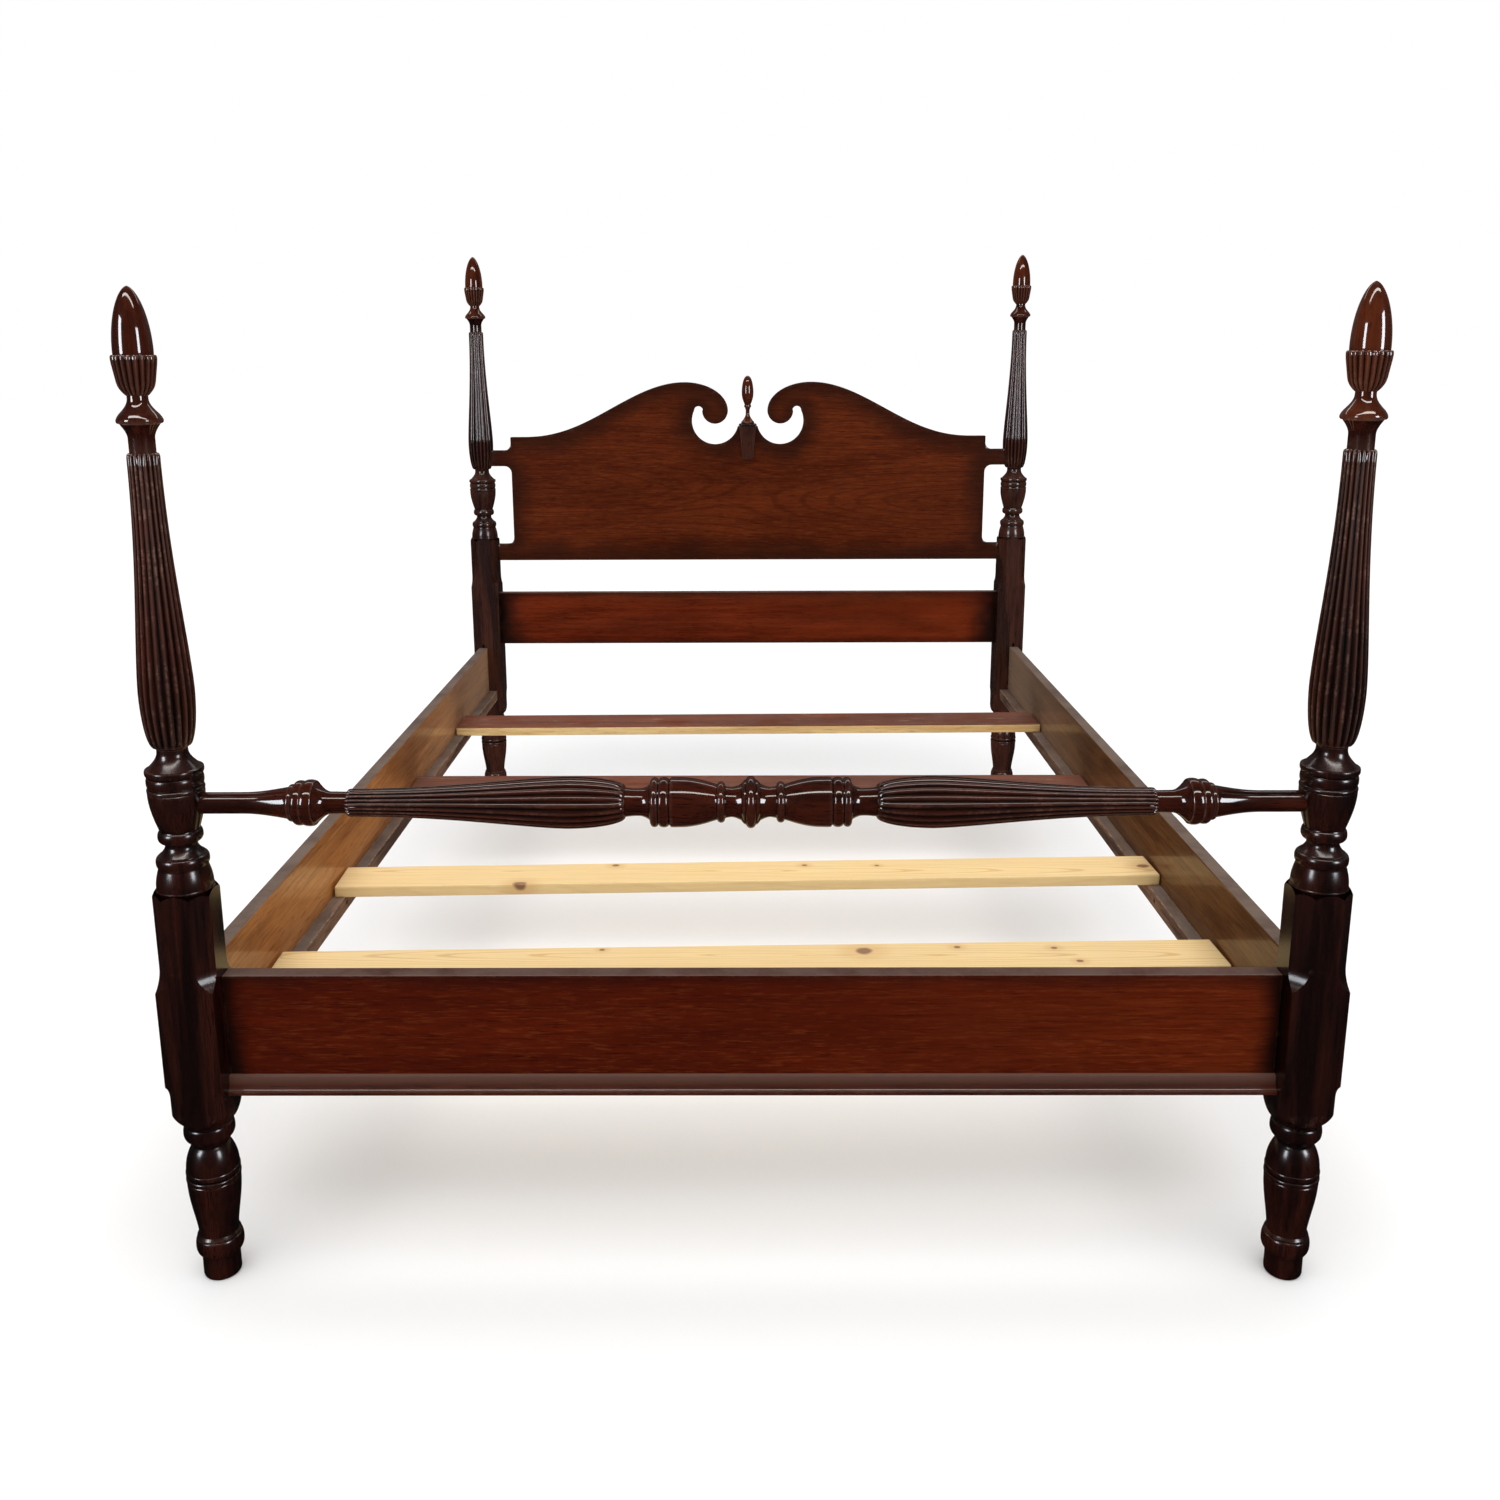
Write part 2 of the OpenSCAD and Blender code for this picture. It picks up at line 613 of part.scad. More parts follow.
// Right side rail, with the kerf for the hook plate, its two pins and the ledger's screws
screw_r = 2.5;
screw_head_r = 4.5;
screw_span = 2 * rail_half - 160;
module side_rail() {
    difference() {
        translate([post_x, -rail_half, rail_z]) cube([rail_t, 2 * rail_half, rail_h]);
        both_ends() {
            translate([plate_x - plate_t / 2 - 0.1, rail_half - kerf_depth, plate_z - 0.1])
                cube([plate_t + 0.2, kerf_depth + 1, plate_h + 0.2]);
            plate_pin_places() cylinder(r = plate_pin_r + dowel_fit, h = plate_pin_len + 0.3);
        }
        screw_places() translate([0, 0, ledger_w - 1])
            cylinder(r = screw_r + dowel_fit, h = screw_len - ledger_w + 1.3);
    }
}

plate_z = pin_z - 6;
plate_h = hook_pitch + 24;
plate_pin_r = 2.5;
plate_pin_len = rail_t - 4;
module plate_pin_places() {
    for (z = [plate_z + 14, plate_z + plate_h - 14])
        translate([post_x, rail_half - kerf_depth / 2 - 4, z]) rotate([0, 90, 0]) children();
}

// Ledger screws start at the ledger's inner face and run outwards
screw_len = ledger_w + 14;
module screw_places() {
    for (i = [0 : ledger_screw_n - 1])
        translate([post_x - ledger_w, screw_span * (i / (ledger_screw_n - 1) - 0.5),
            rail_z + ledger_up + ledger_h / 2])
            rotate([0, 90, 0]) children();
}

module ledger() {
    difference() {
        translate([post_x - ledger_w, -rail_half, rail_z + ledger_up])
            cube([ledger_w, 2 * rail_half, ledger_h]);
        screw_places() {
            translate([0, 0, -1]) cylinder(r = screw_r + dowel_fit, h = ledger_w + 2);
            translate([0, 0, -0.5])
                cylinder(r1 = screw_head_r + 0.5 + dowel_fit, r2 = screw_r + dowel_fit,
                    h = screw_head_r - screw_r + 0.5);
        }
    }
}

module ledger_screws() {
    sink = screw_head_r - screw_r;
    screw_places() {
        cylinder(r1 = screw_head_r, r2 = screw_r, h = sink);
        translate([0, 0, sink]) cylinder(r = screw_r, h = screw_len - sink);
    }
}

// Hook plate: a strip held in the rail's kerf, with two hooks that hang over the pins
module hook_outline() {
    pin_y = pin_in + hook_fit;
    seat = pin_r + hook_fit;
    drop = hook_lift - seat - 2;
    crown = 7;
    translate([-kerf_depth + 0.5, 0]) square([kerf_depth, plate_h]);
    translate([-1, 0]) square([pin_y - seat + 1, plate_h]);
    for (z = [0, hook_pitch]) translate([0, pin_z - plate_z + z]) difference() {
        translate([pin_y - seat - 1, -drop])
            square([hook_reach - pin_y + seat + 1, drop + seat + crown]);
        translate([pin_y, 0]) circle(r = seat);
        translate([pin_y - seat, -drop - 1]) square([2 * seat, drop + 1]);
    }
}

module rail_hooks() {
    both_ends() difference() {
        translate([plate_x - plate_t / 2, rail_half, plate_z])
            rotate([90, 0, 90]) linear_extrude(plate_t) hook_outline();
        plate_pin_places() cylinder(r = plate_pin_r + dowel_fit, h = rail_t);
    }
}

module plate_pins() {
    both_ends() plate_pin_places() cylinder(r = plate_pin_r, h = plate_pin_len);
}

module rail_moulding() {
    translate([post_x + rail_t, rail_half, rail_z]) rotate([90, 0, 0])
        linear_extrude(2 * rail_half) moulding_section();
}

// Pins across the slot of one post, pushed in from its side
module hook_pins() {
    reach = plate_x - post_x + 13;
    for (z = [pin_z, pin_z + hook_pitch])
        translate([-half_block + 2, half_block - pin_in, z]) rotate([0, 90, 0])
            cylinder(r = pin_r, h = half_block - 2 + reach);
}

rail_colour = "#6b4322";
module right_side_rail() { color(rail_colour) side_rail(); }
module left_side_rail() { color(rail_colour) mirror([1, 0, 0]) side_rail(); }
ledger_colour = "#7a5632";
module right_ledger() { color(ledger_colour) ledger(); }
module left_ledger() { color(ledger_colour) mirror([1, 0, 0]) ledger(); }
module right_rail_moulding() { color("#3a1710") rail_moulding(); }
module left_rail_moulding() { color("#3a1710") mirror([1, 0, 0]) rail_moulding(); }
steel = "#8c8c8c";
module right_rail_hooks() { color(steel) rail_hooks(); }
module left_rail_hooks() { color(steel) mirror([1, 0, 0]) rail_hooks(); }
module right_plate_pins() { color(steel) plate_pins(); }
module left_plate_pins() { color(steel) mirror([1, 0, 0]) plate_pins(); }
module right_ledger_screws() { color("#4d463c") ledger_screws(); }
module left_ledger_screws() { color("#4d463c") mirror([1, 0, 0]) ledger_screws(); }
module foot_left_hook_pins() { color(steel) at_corner(false, false) hook_pins(); }
module foot_right_hook_pins() { color(steel) at_corner(true, false) hook_pins(); }
module head_left_hook_pins() { color(steel) at_corner(false, true) mirror([0, 1, 0]) hook_pins(); }
module head_right_hook_pins() { color(steel) at_corner(true, true) mirror([0, 1, 0]) hook_pins(); }

// A loose slat: place is its share of the way from the foot posts to the head posts
module slat(place, w, skew) {
    translate([0, post_length * (place - 0.5), slat_z + slat_t / 2]) rotate([0, 0, skew])
        cube([slat_len, w, slat_t], center = true);
}

module slat_foot() { color("#e2c48d") slat(0.137, narrow_slat_w, 1.6); }
module slat_second() { color("#e4c793") slat(0.308, narrow_slat_w, 2); }
module slat_third() { color("#8a4a30") slat(0.548, wide_slat_w, 0); }
module slat_head() { color("#8a4a30") slat(0.796, wide_slat_w, 0.9); }

foot_left_post();
foot_right_post();
head_left_post();
head_right_post();
foot_left_shaft();
foot_right_shaft();
head_left_shaft();
head_right_shaft();
foot_left_finial();
foot_right_finial();
head_left_finial();
head_right_finial();
foot_rail();
foot_rail_moulding();
cross_rail();
headboard_panel();
headboard_keystone();
keystone_cap();
centre_finial();
head_stretcher();
left_side_rail();
right_side_rail();
left_ledger();
right_ledger();
left_rail_moulding();
right_rail_moulding();
left_rail_hooks();
right_rail_hooks();
left_plate_pins();
right_plate_pins();
left_ledger_screws();
right_ledger_screws();
foot_left_hook_pins();
foot_right_hook_pins();
head_left_hook_pins();
head_right_hook_pins();
slat_foot();
slat_second();
slat_third();
slat_head();
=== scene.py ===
import math
from functools import cache

import bpy
import numpy as np
from bpy.props import FloatProperty, FloatVectorProperty, IntProperty, PointerProperty
from mathutils import Matrix, Vector


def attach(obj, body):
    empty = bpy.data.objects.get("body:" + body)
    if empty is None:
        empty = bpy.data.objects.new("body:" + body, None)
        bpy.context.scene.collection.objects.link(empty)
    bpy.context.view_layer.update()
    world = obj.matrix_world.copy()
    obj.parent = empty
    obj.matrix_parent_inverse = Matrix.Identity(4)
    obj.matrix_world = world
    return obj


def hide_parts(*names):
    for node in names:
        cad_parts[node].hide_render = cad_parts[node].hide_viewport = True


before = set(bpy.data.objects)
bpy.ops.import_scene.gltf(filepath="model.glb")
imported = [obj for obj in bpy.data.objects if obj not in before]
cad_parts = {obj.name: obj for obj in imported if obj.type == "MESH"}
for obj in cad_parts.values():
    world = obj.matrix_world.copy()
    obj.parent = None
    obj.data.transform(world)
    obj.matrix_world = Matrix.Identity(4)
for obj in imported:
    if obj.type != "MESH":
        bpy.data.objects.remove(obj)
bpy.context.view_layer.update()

bl_info = {
    "name": "Four-Poster Bed",
    "version": (1, 0, 0),
    "blender": (4, 5, 0),
    "location": "View3D > Sidebar > Bed",
    "description": "Models a full-size four-poster bed with reeded posts around its packed frame",
    "category": "Object",
}

MM = 0.001

# Places and sizes in millimetres, as in the part's source
POST_X = 692
POST_Y = 991
FOOT_H = 222
BLOCK_W = 70
HALF_BLOCK = BLOCK_W / 2
CHAMFER_W = 18
LOW_CHAMFER_W = 11
STOP_R = 33
CHAMFER_H = 125
URN_H = 177
SHAFT_H = 350
NECK_H = 33
BULB_R = 31.5
SHAFT_TOP_R = 18
RAIL_Z = 263
RAIL_H = 146
RAIL_T = 22
RAIL_HALF = POST_Y - HALF_BLOCK - 0.3
LEDGER_W = 21
LEDGER_H = 25
LEDGER_Z = RAIL_Z + 4
SCREW_Z = LEDGER_Z + LEDGER_H / 2
BOARD_T = 24
BOARD_HALF = POST_X - HALF_BLOCK
FOOT_RAIL_Y = -POST_Y - 5
FOOT_RAIL_Z = RAIL_Z - 2
FOOT_RAIL_H = 157
STRETCHER_Z = RAIL_Z + 153
STRETCHER_H = 137
SQUARE_Z = RAIL_Z + 20
FOOT_SQUARE_TOP = RAIL_Z + RAIL_H
HEAD_SQUARE_TOP = STRETCHER_Z + STRETCHER_H + 20
FOOT_TOP = FOOT_SQUARE_TOP + CHAMFER_H
HEAD_TOP = HEAD_SQUARE_TOP + CHAMFER_H
CROSS_Z = FOOT_TOP + 108
PANEL_Z = HEAD_TOP - 58
PANEL_T = 20
SLAT_Z = LEDGER_Z + LEDGER_H
SLAT_T = 19
SLAT_GAP = 3

# Slot for a hook plate in a post, and the bores of its pins
PLATE_X = RAIL_T / 2 - 1
SLOT_W = 5
SLOT_DEPTH = 26
SLOT_LOW = RAIL_Z + 18
SLOT_HIGH = RAIL_Z + 155
PIN_IN = 16
BORE_R = 3.15
BORES_Z = (RAIL_Z + 36, RAIL_Z + 88)

# Faces round a turning that has no reeds
PLAIN_STEPS = 96

# Sides of the bed as signs along X, and its corners as signs along X and Y
HANDS = {"left": -1, "right": 1}
CORNERS = {"foot_left": (-1, -1), "foot_right": (1, -1), "head_left": (-1, 1), "head_right": (1, 1)}


def rounding(name, description, value):
    return FloatProperty(
        name=name, description=description, default=value, min=0.0002, max=0.004, unit="LENGTH")


class BedSizes(bpy.types.PropertyGroup):
    """Sizes of the parts that show most"""

    reeds: IntProperty(
        name="Reeds", description="Number of reeds round a shaft, a cup or the cross rail",
        default=20, min=12, max=24)
    reed_share: FloatProperty(
        name="Reed Depth", description="Depth of a reed as a share of the radius",
        default=0.08, min=0.03, max=0.1)
    turn_steps: IntProperty(
        name="Turning Steps", description="Faces round a reeded turning, eight for each reed",
        default=160, min=96, max=256)
    block_arris: rounding("Block Arris", "Rounding of the edges of the square blocks", 0.0008)
    board_arris: rounding("Board Arris", "Rounding of the edges of the boards", 0.0014)
    slat_arris: rounding("Slat Arris", "Rounding of the edges of the slats", 0.0022)


def colour(name, description, value):
    return FloatVectorProperty(
        name=name, description=description, subtype="COLOR", size=3, default=value, min=0, max=1)


class BedColours(bpy.types.PropertyGroup):
    """Colours of the woods and the steel"""

    post_dark: colour("Post Stain", "Stain of the posts", (0.006, 0.001, 0.0006))
    post_red: colour("Post Red", "Red that shows through the posts' stain", (0.034, 0.005, 0.0016))
    # Worn wood, also laid on the post edges as painted highlight.
    worn_and_highlit: colour("Worn Wood", "Wood bared where the finish has rubbed away", (0.16, 0.085, 0.055))
    board_dark: colour("Board Figure", "Dark figure of the red boards", (0.042, 0.003, 0.0003))
    board_red: colour("Board Red", "Red of the foot rail", (0.095, 0.009, 0.0008))
    stretcher_red: colour("Stretcher Red", "Brighter red of the stretcher", (0.21, 0.028, 0.006))
    veneer_dark: colour("Veneer Figure", "Dark figure of the headboard", (0.045, 0.005, 0.0006))
    veneer_red: colour("Veneer Red", "Red of the headboard", (0.15, 0.026, 0.005))
    rail_dark: colour("Rail Figure", "Dark grain of the side rails", (0.17, 0.06, 0.016))
    rail_gold: colour("Rail Gold", "Golden brown inside the side rails", (0.33, 0.135, 0.038))
    pine_light: colour("Pine", "Pale wood of the slats", (0.83, 0.6, 0.285))
    pine_dark: colour("Pine Grain", "Late wood of the slats", (0.57, 0.33, 0.115))
    slat_stain: colour("Slat Stain", "Stain on the two wide slats", (0.2, 0.045, 0.014))
    steel: colour("Steel", "Dull plated steel", (0.42, 0.4, 0.37))


def clear_selection():
    """Leave edit mode with nothing selected."""
    if bpy.context.object and bpy.context.object.mode != "OBJECT":
        bpy.ops.object.mode_set(mode="OBJECT")
    for obj in list(bpy.context.selected_objects):
        obj.select_set(False)


def select_only(*objects):
    """Select these objects, the first of them active."""
    clear_selection()
    for obj in objects:
        obj.select_set(True)
    bpy.context.view_layer.objects.active = objects[0]


def named(name):
    """The object just made, named on its mesh too."""
    obj = bpy.context.object
    obj.name = name
    obj.data.name = name
    return obj


def apply_place(obj):
    """Put the object's place, turn and scale into its mesh."""
    select_only(obj)
    bpy.ops.object.transform_apply(location=True, rotation=True, scale=True)
    return obj


def face_outwards(obj):
    """Point all faces of the active object outwards and leave edit mode."""
    bpy.ops.object.mode_set(mode="EDIT")
    bpy.ops.mesh.select_all(action="SELECT")
    bpy.ops.mesh.normals_make_consistent(inside=False)
    bpy.ops.object.mode_set(mode="OBJECT")
    return obj


def place(obj, at=(0, 0, 0), turn=(0, 0, 0), mirror=(1, 1, 1)):
    """Turn in degrees, mirror and move in millimetres, all put into the mesh."""
    obj.rotation_euler = [math.radians(a) for a in turn]
    obj.scale = mirror
    obj.location = Vector(at) * MM
    apply_place(obj)
    return face_outwards(obj) if min(mirror) < 0 else obj


def copy_of(obj, name):
    """A copy with its own mesh."""
    select_only(obj)
    bpy.ops.object.duplicate()
    return named(name)


def join(name, *objects):
    select_only(*objects)
    bpy.ops.object.join()
    return named(name)


def delete(obj):
    select_only(obj)
    bpy.ops.object.delete()


def apply_modifier(obj, kind, **settings):
    step = obj.modifiers.new(kind, kind)
    for key, value in settings.items():
        setattr(step, key, value)
    select_only(obj)
    bpy.ops.object.modifier_apply(modifier=step.name)
    return obj


def apply_boolean(obj, tool, operation="DIFFERENCE", overlapping=False):
    """Cut away what another object fills, or keep only that. The other object is used up."""
    apply_modifier(obj, "BOOLEAN", operation=operation, solver="EXACT", use_self=overlapping, object=tool)
    delete(tool)
    return obj


def ease(obj, width, angle=30):
    """Round the edges sharper than an angle."""
    return apply_modifier(
        obj, "BEVEL", width=width, segments=2, limit_method="ANGLE", angle_limit=math.radians(angle))


def bisect(obj, axis, places):
    """Cut new edges across the mesh at places along an axis, in millimetres."""
    normal = [0, 0, 0]
    normal[axis] = 1
    select_only(obj)
    bpy.ops.object.mode_set(mode="EDIT")
    for at in places:
        bpy.ops.mesh.select_all(action="SELECT")
        bpy.ops.mesh.bisect(plane_co=[n * at * MM for n in normal], plane_no=normal)
    bpy.ops.object.mode_set(mode="OBJECT")
    return obj


def box_between(name, low, high):
    """Box between two corners in millimetres."""
    clear_selection()
    low = Vector(low) * MM
    high = Vector(high) * MM
    bpy.ops.mesh.primitive_cube_add(size=1, location=(low + high) / 2)
    obj = named(name)
    obj.scale = high - low
    return apply_place(obj)


def rod(name, radius, start, end, sides=32, far_radius=None):
    """Rod or cone between two points in millimetres."""
    clear_selection()
    start = Vector(start) * MM
    end = Vector(end) * MM
    far = radius if far_radius is None else far_radius
    bpy.ops.mesh.primitive_cone_add(
        vertices=sides, radius1=radius * MM, radius2=far * MM, depth=(end - start).length,
        location=(start + end) / 2, rotation=(end - start).to_track_quat("Z", "Y").to_euler())
    return apply_place(named(name))


def draw_line(name, points):
    """Draw a line of vertices through (x, z) points in millimetres, left in edit mode."""
    clear_selection()
    bpy.ops.mesh.primitive_plane_add(size=0.1, location=(0, 0, 0))
    obj = named(name)
    bpy.ops.object.mode_set(mode="EDIT")
    bpy.ops.mesh.select_all(action="SELECT")
    bpy.ops.mesh.merge(type="CENTER")
    x, z = points[0]
    bpy.ops.transform.translate(value=(x * MM, 0, z * MM))
    for (x0, z0), (x1, z1) in zip(points, points[1:]):
        step = ((x1 - x0) * MM, 0, (z1 - z0) * MM)
        bpy.ops.mesh.extrude_vertices_move(TRANSFORM_OT_translate={"value": step})
    return obj


def turned(name, stations, steps=None):
    """Spin (radius, height) stations round Z into a closed turning."""
    steps = steps or bpy.context.scene.bed_sizes.turn_steps
    obj = draw_line(name, [(0, stations[0][1])] + list(stations) + [(0, stations[-1][1])])
    bpy.ops.mesh.select_all(action="SELECT")
    bpy.ops.mesh.spin(steps=steps, angle=math.tau, center=(0, 0, 0), axis=(0, 0, 1))
    bpy.ops.mesh.select_all(action="SELECT")
    bpy.ops.mesh.remove_doubles(threshold=2e-5)
    return face_outwards(obj)


def drawn_board(name, points, thickness):
    """Fill a closed (x, z) outline and give it a thickness along Y, half to each side."""
    obj = draw_line(name, points)
    bpy.ops.mesh.select_all(action="SELECT")
    bpy.ops.mesh.edge_face_add()
    bpy.ops.transform.translate(value=(0, -thickness / 2 * MM, 0))
    bpy.ops.mesh.extrude_region_move(TRANSFORM_OT_translate={"value": (0, thickness * MM, 0)})
    return face_outwards(obj)


def board(name, low, high, arris, margin=4):
    """Board with eased edges, and edges cut just inside them that hold the wear to the arris."""
    obj = ease(box_between(name, low, high), arris)
    for axis in range(3):
        if high[axis] - low[axis] > 3 * margin:
            bisect(obj, axis, (low[axis] + margin, high[axis] - margin))
    return obj


def stored(mesh, name):
    """The numbers stored for the vertices, or noughts."""
    values = np.zeros(len(mesh.vertices), np.float32)
    layer = mesh.attributes.get(name)
    if layer:
        layer.data.foreach_get("value", values)
    return values


def store(mesh, name, values):
    """Store one number for each vertex."""
    layer = mesh.attributes.get(name) or mesh.attributes.new(name, "FLOAT", "POINT")
    layer.data.foreach_set("value", np.asarray(values, np.float32))


def read(items, field, width, kind=np.float32):
    """A field of a mesh's vertices, normals or edges as rows of numbers."""
    values = np.empty(len(items) * width, kind)
    items.foreach_get(field, values)
    return values.reshape(-1, width)


def mark_edges(mesh, slight=35.0, full=150.0):
    """Store where edges rub pale, partly standing as painted highlight, and where hollows hold dark polish;
    the crests and the darkened grooves of the reeds are added to these.
    """
    at = read(mesh.vertices, "co", 3)
    normal = read(mesh.vertex_normals, "vector", 3)
    ends = read(mesh.edges, "vertices", 2, np.int32)
    bend = np.zeros(len(at))
    edges = np.zeros(len(at))
    for one, other in ((ends[:, 0], ends[:, 1]), (ends[:, 1], ends[:, 0])):
        span = at[one] - at[other]
        square = np.maximum((span ** 2).sum(1), 1e-9)
        np.add.at(bend, one, (normal[one] * span).sum(1) / square)
        np.add.at(edges, one, 1)
    bend /= np.maximum(edges, 1)
    for name, way, carved in (("wear_and_highlight", 1, "crest"), ("hollow", -1, "groove")):
        share = np.clip((way * bend - slight) / (full - slight), 0, 1)
        store(mesh, name, np.maximum(share, stored(mesh, carved)))


def finish_piece(obj, material, body, node):
    """Shade, mark, paint and hand the piece to the body that carries it."""
    select_only(obj)
    bpy.ops.object.shade_smooth_by_angle(angle=math.radians(24))
    mark_edges(obj.data)
    obj.data.materials.clear()
    obj.data.materials.append(material)
    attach(obj, body)
    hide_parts(node)


# Stations of a turning, from its foot upwards


def quarter(n):
    """Angles of a quarter turn in n steps."""
    return [math.pi / 2 * i / n for i in range(n + 1)]


def settle(r0, r1, z0, z1, n=12, power=1.0):
    """Steep at first, then settling to the new radius."""
    return [(r0 + (r1 - r0) * math.sin(a) ** power, z0 + (z1 - z0) * i / n)
            for i, a in enumerate(quarter(n))]


def leave(r0, r1, z0, z1, n=12, power=1.0):
    """Level with the old radius at first, then turning away to the new one."""
    return [(r1 + (r0 - r1) * max(math.cos(a), 0) ** power, z0 + (z1 - z0) * i / n)
            for i, a in enumerate(quarter(n))]


def bead(r0, r, r1, z0, z1, n=7):
    """Round bead between two core radii."""
    mid = (z0 + z1) / 2
    half = (z1 - z0) / 2
    up = [(r0 + (r - r0) * math.sin(a), mid - half * math.cos(a)) for a in quarter(n)]
    down = [(r1 + (r - r1) * math.cos(a), mid + half * math.sin(a)) for a in quarter(n)[1:]]
    return up + down


def foot_stations():
    h = FOOT_H
    return (
        [(20.5, 0), (22, 0.6), (23.1, 2.2), (23.5, 4), (23.3, h - 190)]
        + bead(24, 29.6, 27, h - 189, h - 166)
        + [(26.4, h - 165.5), (27, h - 165), (27, h - 162.8), (26.4, h - 162), (24.6, h - 160)]
        + settle(24.4, 32.8, h - 159, h - 84, 18, 1.5)
        + bead(32.2, 33.6, 32, h - 83, h - 77, 4)
        + bead(32, 33.4, 32.2, h - 74, h - 68, 4)
        + leave(32.4, 22, h - 67, h - 34, 16, 0.75)
        + [(21.8, h - 31), (22, h - 28)]
        + bead(23, 31.2, 28.5, h - 27, h - 5)
        + [(28.4, h - 4.5), (29.4, h - 4), (29.4, h - 1.5), (28, h + 30)]
    )


def shoulder_stations(top):
    return (
        [(30.5, FOOT_H - 1)]
        + settle(31, 43, FOOT_H, FOOT_H + 20)
        + [(62, FOOT_H + 26), (62, top - 18), (42, top - 10), (41, top - 8.7), (39.8, top - 7),
           (38.7, top - 5), (37.4, top - 3), (36.4, top - 1.4), (35.2, top)]
    )


def urn_stations(t):
    return (
        [(30, t - 30), (30, t - 0.5), (33.6, t), (34.1, t + 0.7), (34.1, t + 2), (33.4, t + 3)]
        + leave(33.2, 28.6, t + 5, t + 29)
        + bead(28.6, 30.9, 28, t + 30, t + 43)
        + [(27.2, t + 43.5), (27, t + 44.5)]
        + settle(25.5, 18.6, t + 45, t + 57)
        + [(18.6, t + 59)]
        + bead(20, 26.2, 23.6, t + 60, t + 75)
        + settle(23.2, 32.8, t + 76, t + 124, 14)
        + bead(32, 33.2, 31.4, t + 125, t + 130, 4)
        + bead(31.2, 33, 31.2, t + 131.5, t + 144, 6)
        + bead(31.4, 33.8, 33.2, t + 145.5, t + 153)
        + settle(30.5, 17.8, t + 154, t + URN_H - 3)
        + [(17.8, t + URN_H)]
    )


def taper_stations(z0, zb, z1, r0, rb, r1):
    """Reeded taper that swells from z0 to its fullest at zb and slims to r1 at z1."""
    low = [(r0 + (rb - r0) * math.sin(a), zb - (zb - z0) * math.cos(a)) for a in quarter(12)[:-1]]
    high = [(r1 + (rb - r1) * (1 + math.cos(math.pi * (i / 26) ** 0.73)) / 2,
             zb + (z1 - 4 - zb) * i / 26) for i in range(27)]
    return low + high + [(r1 - 0.4, z1 - 2.2), (r1 - 1.1, z1 - 0.8), (r1 - 2.2, z1)]


def fade(value, start, end):
    """0 before start and 1 after end, eased between them."""
    t = min(max((value - start) / (end - start), 0), 1)
    return t * t * (3 - 2 * t)


def cut_reeds(obj, z0, z1, scallop=4.0, run=28.0):
    """Draw a turning in between its reeds and round their upper ends into scallops."""
    sizes = bpy.context.scene.bed_sizes
    foot_share = 0.3
    crest = np.zeros(len(obj.data.vertices))
    groove = np.zeros(len(obj.data.vertices))
    for i, vertex in enumerate(obj.data.vertices):
        x, y, z = vertex.co / MM
        if math.hypot(x, y) < 1:
            continue
        wave = abs(math.sin(sizes.reeds * math.atan2(y, x) / 2))
        depth = sizes.reed_share * (foot_share + (1 - foot_share) * fade(z, z0, z0 + 12))
        draw = 1 - depth * (1 - wave)
        drop = scallop * (1 - wave) ** 1.5 * fade(z, z1 - run, z1)
        vertex.co = Vector((x * draw, y * draw, z - drop)) * MM
        # Pale lines along the reed crests, stronger towards the top: partly wear, partly painted highlight.
        # The groove mask darkens the valleys between the reeds.
        crest[i] = wave ** 40 * fade(z, z0 + 4, z0 + 14) * (0.45 + 0.55 * fade(z, z0, z1))
        groove[i] = (1 - wave) ** 1.4 * fade(z, z0, z0 + 8) * fade(z1 - z, 0, 4)
    store(obj.data, "crest", crest)
    store(obj.data, "groove", groove)


def chamfered_block(name, square_top, top):
    """Square block whose corners are chamfered above and below, each chamfer ending in a hollow."""
    obj = box_between(name, (-HALF_BLOCK, -HALF_BLOCK, FOOT_H - 1), (HALF_BLOCK, HALF_BLOCK, top))
    reach = 22
    depth = 24
    parts = []
    for width, start, far, way in (
            (LOW_CHAMFER_W, SQUARE_Z, FOOT_H - 4, -1), (CHAMFER_W, square_top, top + 4, 1)):
        face = (BLOCK_W - width) / math.sqrt(2)
        stop = start + way * math.sqrt(STOP_R ** 2 - (STOP_R - width / math.sqrt(2)) ** 2)
        low, high = sorted((stop, far))
        parts.append(box_between("chamfer", (face, -reach, low), (face + depth, reach, high)))
        x = face + STOP_R
        parts.append(rod("stop", STOP_R, (x, -reach, stop), (x, reach, stop), sides=128))
    corner_tool = join("chamfers", *parts)
    tools = [place(copy_of(corner_tool, "chamfers"), turn=(0, 0, 45 + 90 * q)) for q in range(4)]
    delete(corner_tool)
    apply_boolean(obj, join("chamfers", *tools), overlapping=True)
    ease(obj, bpy.context.scene.bed_sizes.block_arris)
    apply_boolean(obj, turned("envelope", shoulder_stations(top)), "INTERSECT")
    margins = (-32.5, -21, -17, 17, 21, 32.5)
    bisect(obj, 0, margins)
    bisect(obj, 1, margins)
    return bisect(obj, 2, [FOOT_H + 8 + 15 * i for i in range(int((top - FOOT_H) / 15))])


def cut_hook_slot(obj, side):
    """Slot for the hook plate in the face towards the bed's middle, and the bores of its pins."""
    low_y, high_y = sorted((side * (HALF_BLOCK - SLOT_DEPTH), side * (HALF_BLOCK + 1)))
    low = (PLATE_X - SLOT_W / 2, low_y, SLOT_LOW)
    apply_boolean(obj, box_between("slot", low, (PLATE_X + SLOT_W / 2, high_y, SLOT_HIGH)))
    y = side * (HALF_BLOCK - PIN_IN)
    for z in BORES_Z:
        apply_boolean(obj, rod("bore", BORE_R, (-HALF_BLOCK - 1, y, z), (PLATE_X + 14, y, z)))
    return obj


